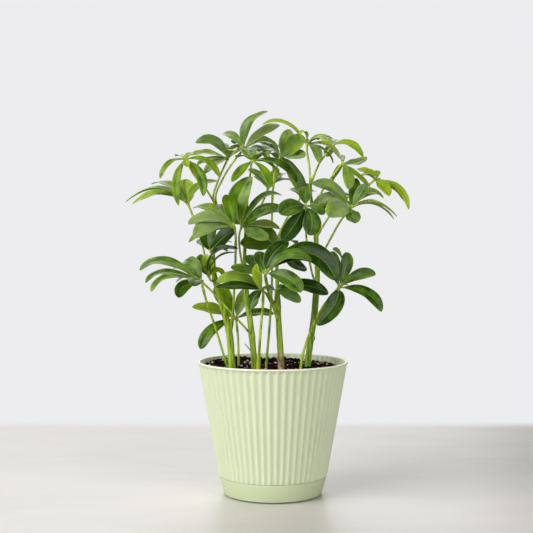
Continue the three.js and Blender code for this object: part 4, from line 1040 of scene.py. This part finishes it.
bpy.ops.mesh.primitive_cylinder_add(vertices=BLADE_POINTS, radius=1, depth=1, location=(0, 0, 0.5))
blank = bpy.context.object
bpy.ops.object.transform_apply(location=True)
bpy.context.tool_settings.mesh_select_mode = (False, True, False)
bpy.ops.object.mode_set(mode="EDIT")
bpy.ops.mesh.select_all(action="DESELECT")
bpy.ops.object.mode_set(mode="OBJECT")
for edge in blank.data.edges:
    low, high = (blank.data.vertices[v].co.z for v in edge.vertices)
    edge.select = abs(high - low) > 0.5
bpy.ops.object.mode_set(mode="EDIT")
bpy.ops.mesh.subdivide(number_cuts=BLADE_CUTS)
bpy.ops.object.mode_set(mode="OBJECT")
bpy.ops.object.shade_smooth()
grid = np.array([vertex.co for vertex in blank.data.vertices])
across = np.sign(grid[:, 0]) * np.abs(grid[:, 0]) ** 1.6
above = grid[:, 1]
along = 1 - (1 - grid[:, 2]) ** 1.4
corners = np.zeros(len(blank.data.loops), int)
blank.data.loops.foreach_get("vertex_index", corners)


def ease(values, low, high):
    """A smooth step from 0 at low to 1 at high."""
    share = np.clip((values - low) / (high - low), 0, 1)
    return share * share * (3 - 2 * share)


def upright(numbers):
    """A row of numbers stood up as a column, to scale a row of points by."""
    return numbers[:, None]


def lay_leaflet(name, hub, row, youth_and_shade, sheen):
    """A copy of the blank blade, laid along its leaflet's arc, with its fold, its waves, its age with
    painted shade and light, and its painted sheen.
    """
    via_across, via_up, tip_across, tip_up, tip_depth, width, turn = row
    draw = random.Random(name)
    start = np.array(place(*hub))
    end = np.array(place(tip_across, tip_up, hub[2] + tip_depth))
    bend = 2 * np.array(place(via_across, via_up, hub[2] + tip_depth * 0.5)) - 0.5 * start - 0.5 * end
    root = HUB_REACH / np.linalg.norm(bend - start)
    t = upright(root + (1 - root) * along)
    middle = (1 - t) ** 2 * start + 2 * t * (1 - t) * bend + t ** 2 * end
    ahead = 2 * (1 - t) * (bend - start) + 2 * t * (end - bend)
    ahead /= upright(np.linalg.norm(ahead, axis=1))
    tilt = math.radians(turn)
    side = np.cross(ahead, (0, -math.sin(tilt), math.cos(tilt)))
    side /= upright(np.linalg.norm(side, axis=1))
    out = np.cross(side, ahead)

    t = t[:, 0]
    blade = np.clip((t - STALK_SHARE) / (1 - STALK_SHARE), 0, 1)
    base_power = ODD_BASES.get(name, BASE_POWER)
    tip_power = 0.56 + 0.16 * youth_and_shade + draw.uniform(-0.04, 0.06)
    widest = base_power / (base_power + tip_power)
    peak = widest ** base_power * (1 - widest) ** tip_power
    oval = blade ** base_power * (1 - blade) ** tip_power / peak
    stalk = LEAFLET_STALK * (1 + 0.5 * ease(t, 0.05, 0)) * (1 - 0.85 * ease(blade, 0.2, 0.95))
    half = np.sqrt((width * MM * HALF_WIDTH * oval) ** 2 + stalk ** 2)
    flat = ease(half / stalk, 1.0, 4.0)
    thick = 2 * stalk * (1 - flat) + BLADE_THICKNESS * flat
    twist = math.radians(draw.uniform(*TWIST)) * ease(t, 0.1, 1.0)
    fold = (draw.uniform(*FOLD) + 0.45 * youth_and_shade ** 2) * (1 - 0.45 * blade) * flat
    crest = draw.uniform(*WAVE)
    beat = draw.uniform(*WAVE_COUNT) * blade + 0.5 * (across > 0)
    wave = crest * np.sin(2 * math.pi * beat + draw.uniform(0, 6.3))
    reach = np.abs(across)
    folded = fold * (np.sqrt(reach ** 2 + 0.006) - 0.077 - 0.42 * reach ** 2)
    lift = half * (folded + wave * flat * reach ** 2)
    rib = np.exp(-(across * half / RIB_WIDTH) ** 2) * flat * (1 - 0.7 * blade)
    rise = 0.5 * thick * above + lift + np.where(above > 0, -RIB_GROOVE, -RIB_RIDGE) * rib
    turned_side = side * upright(np.cos(twist)) + out * upright(np.sin(twist))
    turned_out = out * upright(np.cos(twist)) - side * upright(np.sin(twist))
    spots = middle + turned_side * upright(across * half) + turned_out * upright(rise)

    blade_mesh = blank.data.copy()
    blade_mesh.vertices.foreach_set("co", spots.ravel())
    weave = blade_mesh.uv_layers.active or blade_mesh.uv_layers.new(name="UVMap")
    weave.data.foreach_set("uv", np.stack([0.5 + 0.5 * across, t], axis=1)[corners].ravel())
    # The tone is the leaflet's age with its painted shade and light, and a little random spread.
    mark(blade_mesh, "tone", np.full(len(t), youth_and_shade + draw.uniform(-0.04, 0.04)))
    # The sheen value is painted sheen: a greying that stands for reflected light.
    mark(blade_mesh, "sheen", np.full(len(t), sheen))
    mark(blade_mesh, "under", (above < 0).astype(float))
    leaflet = bpy.data.objects.new(name, blade_mesh)
    bpy.context.collection.objects.link(leaflet)
    return leaflet


# The waxy look of a leaf. Its green follows the leaflet's tone, its age with painted shade and light, under
# a pale midrib, side veins that run forward from it to the margin, a pale margin that is partly a painted
# highlight, a painted sheen of pale grey that stands for reflected sky, and a duller underside.
leaf_look, given = new_look("waxy_leaf_look", {"Rib color": "Color", "Satin": "Float"})


def sum_up(operation, *values):
    """One sum of the leaf's look."""
    return work_out(leaf_look, operation, *values)


def band(value, low, high):
    """A soft mask that is 1 at low and 0 at high."""
    return between(leaf_look, value, (low, high), (1, 0), interpolation_type="SMOOTHSTEP")


def written(key):
    """A value that the blade's vertices carry."""
    return add_node(leaf_look, "Attribute", {}, attribute_name=key)["Fac"]


blade_uv = add_node(leaf_look, "UVMap", {}, uv_map="UVMap")["UV"]
split = add_node(leaf_look, "SeparateXYZ", {"Vector": blade_uv})
off_middle = sum_up("ABSOLUTE", sum_up("SUBTRACT", split["X"], 0.5))
narrowing = sum_up("MULTIPLY_ADD", split["Y"], -0.75, 1.0)
midrib = band(sum_up("DIVIDE", off_middle, narrowing), 0.012, 0.055)
forward = sum_up("MULTIPLY_ADD", off_middle, -0.34, split["Y"])
side_swap = sum_up("MULTIPLY", sum_up("GREATER_THAN", split["X"], 0.5), 0.5)
beat = sum_up("FRACT", sum_up("ADD", sum_up("MULTIPLY", forward, VEIN_COUNT), side_swap))
vein = band(sum_up("ABSOLUTE", sum_up("SUBTRACT", beat, 0.5)), 0.0, 0.16)
veins = sum_up("MULTIPLY", vein, band(off_middle, 0.20, 0.47))
# The margin mask: a pale edge that is partly the leaf's own colour and partly a painted highlight.
margin_highlight = sum_up("SUBTRACT", 1.0, band(off_middle, 0.458, 0.492))
on_stalk = band(split["Y"], STALK_SHARE * 0.9, STALK_SHARE * 1.5)

where = add_node(leaf_look, "TexCoord", {})["Object"]
streak_place = add_node(leaf_look, "Mapping", {"Vector": blade_uv, "Scale": (11, 1.8, 1)})["Vector"]
drift = sum_up("MULTIPLY_ADD", clouds(leaf_look, where, 95, 4), 0.95, written("tone"))
streaked = sum_up("MULTIPLY_ADD", clouds(leaf_look, streak_place, 1, 1), 0.50, drift)
green = add_node(leaf_look, "ValToRGB", {"Fac": sum_up("SUBTRACT", streaked, 0.725)})["Color"]
stops = green.node.color_ramp.elements
for stop, (position, color) in zip(stops, (AGES[0], AGES[-1])):
    stop.position = position
    stop.color = color
for position, color in AGES[1:-1]:
    stops.new(position).color = color
# Painted sheen: cloudy patches of pale grey-green, scaled by each leaflet's sheen value, stand in for
# reflected sky.
sheen_patches = between(leaf_look, clouds(leaf_look, where, 75, 2), (0.32, 0.68), (0.3, 2.0))
under = written("under")
coats = (
    (sum_up("MULTIPLY", sheen_patches, written("sheen")), SHEEN_GREY),
    (sum_up("MULTIPLY", veins, 0.09), given["Rib color"]),
    (sum_up("MULTIPLY", midrib, 0.55), given["Rib color"]),
    (sum_up("MULTIPLY", margin_highlight, 0.75), MARGIN_HIGHLIGHT_GREEN),
    (sum_up("MULTIPLY", under, 0.38), UNDERSIDE_GREEN),
    (on_stalk, LEAFLET_STALK_GREEN),
)
for share, color in coats:
    green = blend(leaf_look, share, green, color)
relief = sum_up("MULTIPLY_ADD", veins, -0.015, clouds(leaf_look, where, 130, 1))
close_look(leaf_look, green, sum_up("MULTIPLY_ADD", under, 0.22, given["Satin"]), relief,
           strength=0.5, depth=0.0007)
waxy_leaf = new_finish("waxy_leaf", leaf_look, {"Rib color": OLD_RIB, "Satin": 0.30}, LEAF_FLESH)
new_leaf = new_finish("new_leaf", leaf_look, {"Rib color": NEW_RIB, "Satin": 0.33}, LEAF_FLESH)

# The shoots and their compound leaves
# A shoot's stems are one piece, and each compound leaf is a piece of its own: its stalk, the small knob
# that its leaflets spread from, and the leaflets.
FIRST_SCAR = 0.03
SCAR_GAPS = (0.011, 0.021)
SCAR_PASSED = 0.002
SCAR_LENGTH = 0.0011
SCAR_SWELLING = 0.055
SCARRED_RADIUS = 0.0015
KNOT_LENGTH = 0.004
KNOT_SWELLING = 0.16
STALK_RADIUS = 0.00105
SHEATH_LENGTH = 0.0035
SHEATH_SWELLING = 0.55
COLLAR_LENGTH = 0.0016
COLLAR_SWELLING = 0.45
KNOB_RADIUS = 0.0016
NEW_LEAF_AGE = 0.6


def travel(line):
    """Each point of a line with its radius and with how far along the line it lies."""
    travelled = 0
    for index, (spot, radius) in enumerate(line):
        travelled += (spot - line[max(index - 1, 0)][0]).length
        yield spot, radius, travelled


for shoot_name, shoot in SHOOTS.items():
    forks = [place(*leaf["stalk"][0]) for leaf in shoot["leaves"].values()]
    scars = random.Random(shoot_name)
    stems = []
    for rows in shoot["stems"]:
        next_scar = FIRST_SCAR
        swollen = []
        for spot, radius, travelled in travel(smooth_line(rows)):
            if travelled > next_scar + SCAR_PASSED:
                next_scar += scars.uniform(*SCAR_GAPS)
            knot = max((math.exp(-((spot - fork).length / KNOT_LENGTH) ** 2) for fork in forks), default=0)
            scar = math.exp(-((travelled - next_scar) / SCAR_LENGTH) ** 2) * (radius > SCARRED_RADIUS)
            swollen.append((spot, radius * (1 + KNOT_SWELLING * knot + SCAR_SWELLING * scar)))
        stems.append(round_shoot(shoot_name + "_stem", swollen, 4, STEM_TONES[shoot_name]))
    stem = join_bits(shoot_name + "_stem", stems, stems[0])
    stem.data.materials.append(woody_skin if shoot_name == "woody_shoot" else stem_skin)
    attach(stem, "root")
    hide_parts(shoot_name)

    for leaf_name, leaf in shoot["leaves"].items():
        # Each leaflet's age, with the painted shade and light set in its table.
        youth_and_shade = YOUTH_AND_SHADE[leaf_name]
        ages_and_shades = youth_and_shade if isinstance(youth_and_shade, list) else [youth_and_shade] * len(leaf["blades"])
        mean_age = sum(ages_and_shades) / len(ages_and_shades)
        # The painted sheen of each leaflet; a leaf that isn't named takes the bare value.
        sheen = PAINTED_SHEEN.get(leaf_name, BARE_SHEEN)
        coats = sheen if isinstance(sheen, list) else [sheen] * len(leaf["blades"])
        line = smooth_line([[*row, 1] for row in leaf["stalk"] + [leaf["hub"]]])
        length = sum((q[0] - p[0]).length for p, q in zip(line, line[1:]))
        tapered = []
        for spot, _, travelled in travel(line):
            sheath = SHEATH_SWELLING * math.exp(-travelled / SHEATH_LENGTH)
            collar = COLLAR_SWELLING * math.exp(-(length - travelled) / COLLAR_LENGTH)
            tapered.append((spot, STALK_RADIUS * (1 + sheath + collar)))
        stalk = round_shoot(leaf_name + "_stalk", tapered, 3, 0.40 + 0.38 * mean_age)
        bpy.ops.mesh.primitive_uv_sphere_add(
            segments=16, ring_count=10, radius=KNOB_RADIUS, location=place(*leaf["hub"]))
        knob = bpy.context.object
        bpy.ops.object.shade_smooth()
        mark(knob.data, "tone", [0.8 + 0.2 * mean_age] * len(knob.data.vertices))
        bodies = [stalk, knob]
        for body in bodies:
            body.data.materials.append(stalk_skin)
        for number, (row, age, coat) in enumerate(zip(leaf["blades"], ages_and_shades, coats)):
            leaflet = lay_leaflet(f"{leaf_name}_{number}", leaf["hub"], row, age, coat)
            leaflet.data.materials.append(new_leaf if mean_age > NEW_LEAF_AGE else waxy_leaf)
            bodies.append(leaflet)
        compound = join_bits(leaf_name + "_leaf", bodies, bodies[-1])
        bpy.ops.object.transform_apply()
        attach(compound, "root")
        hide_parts(shoot_name)
bpy.data.objects.remove(blank)
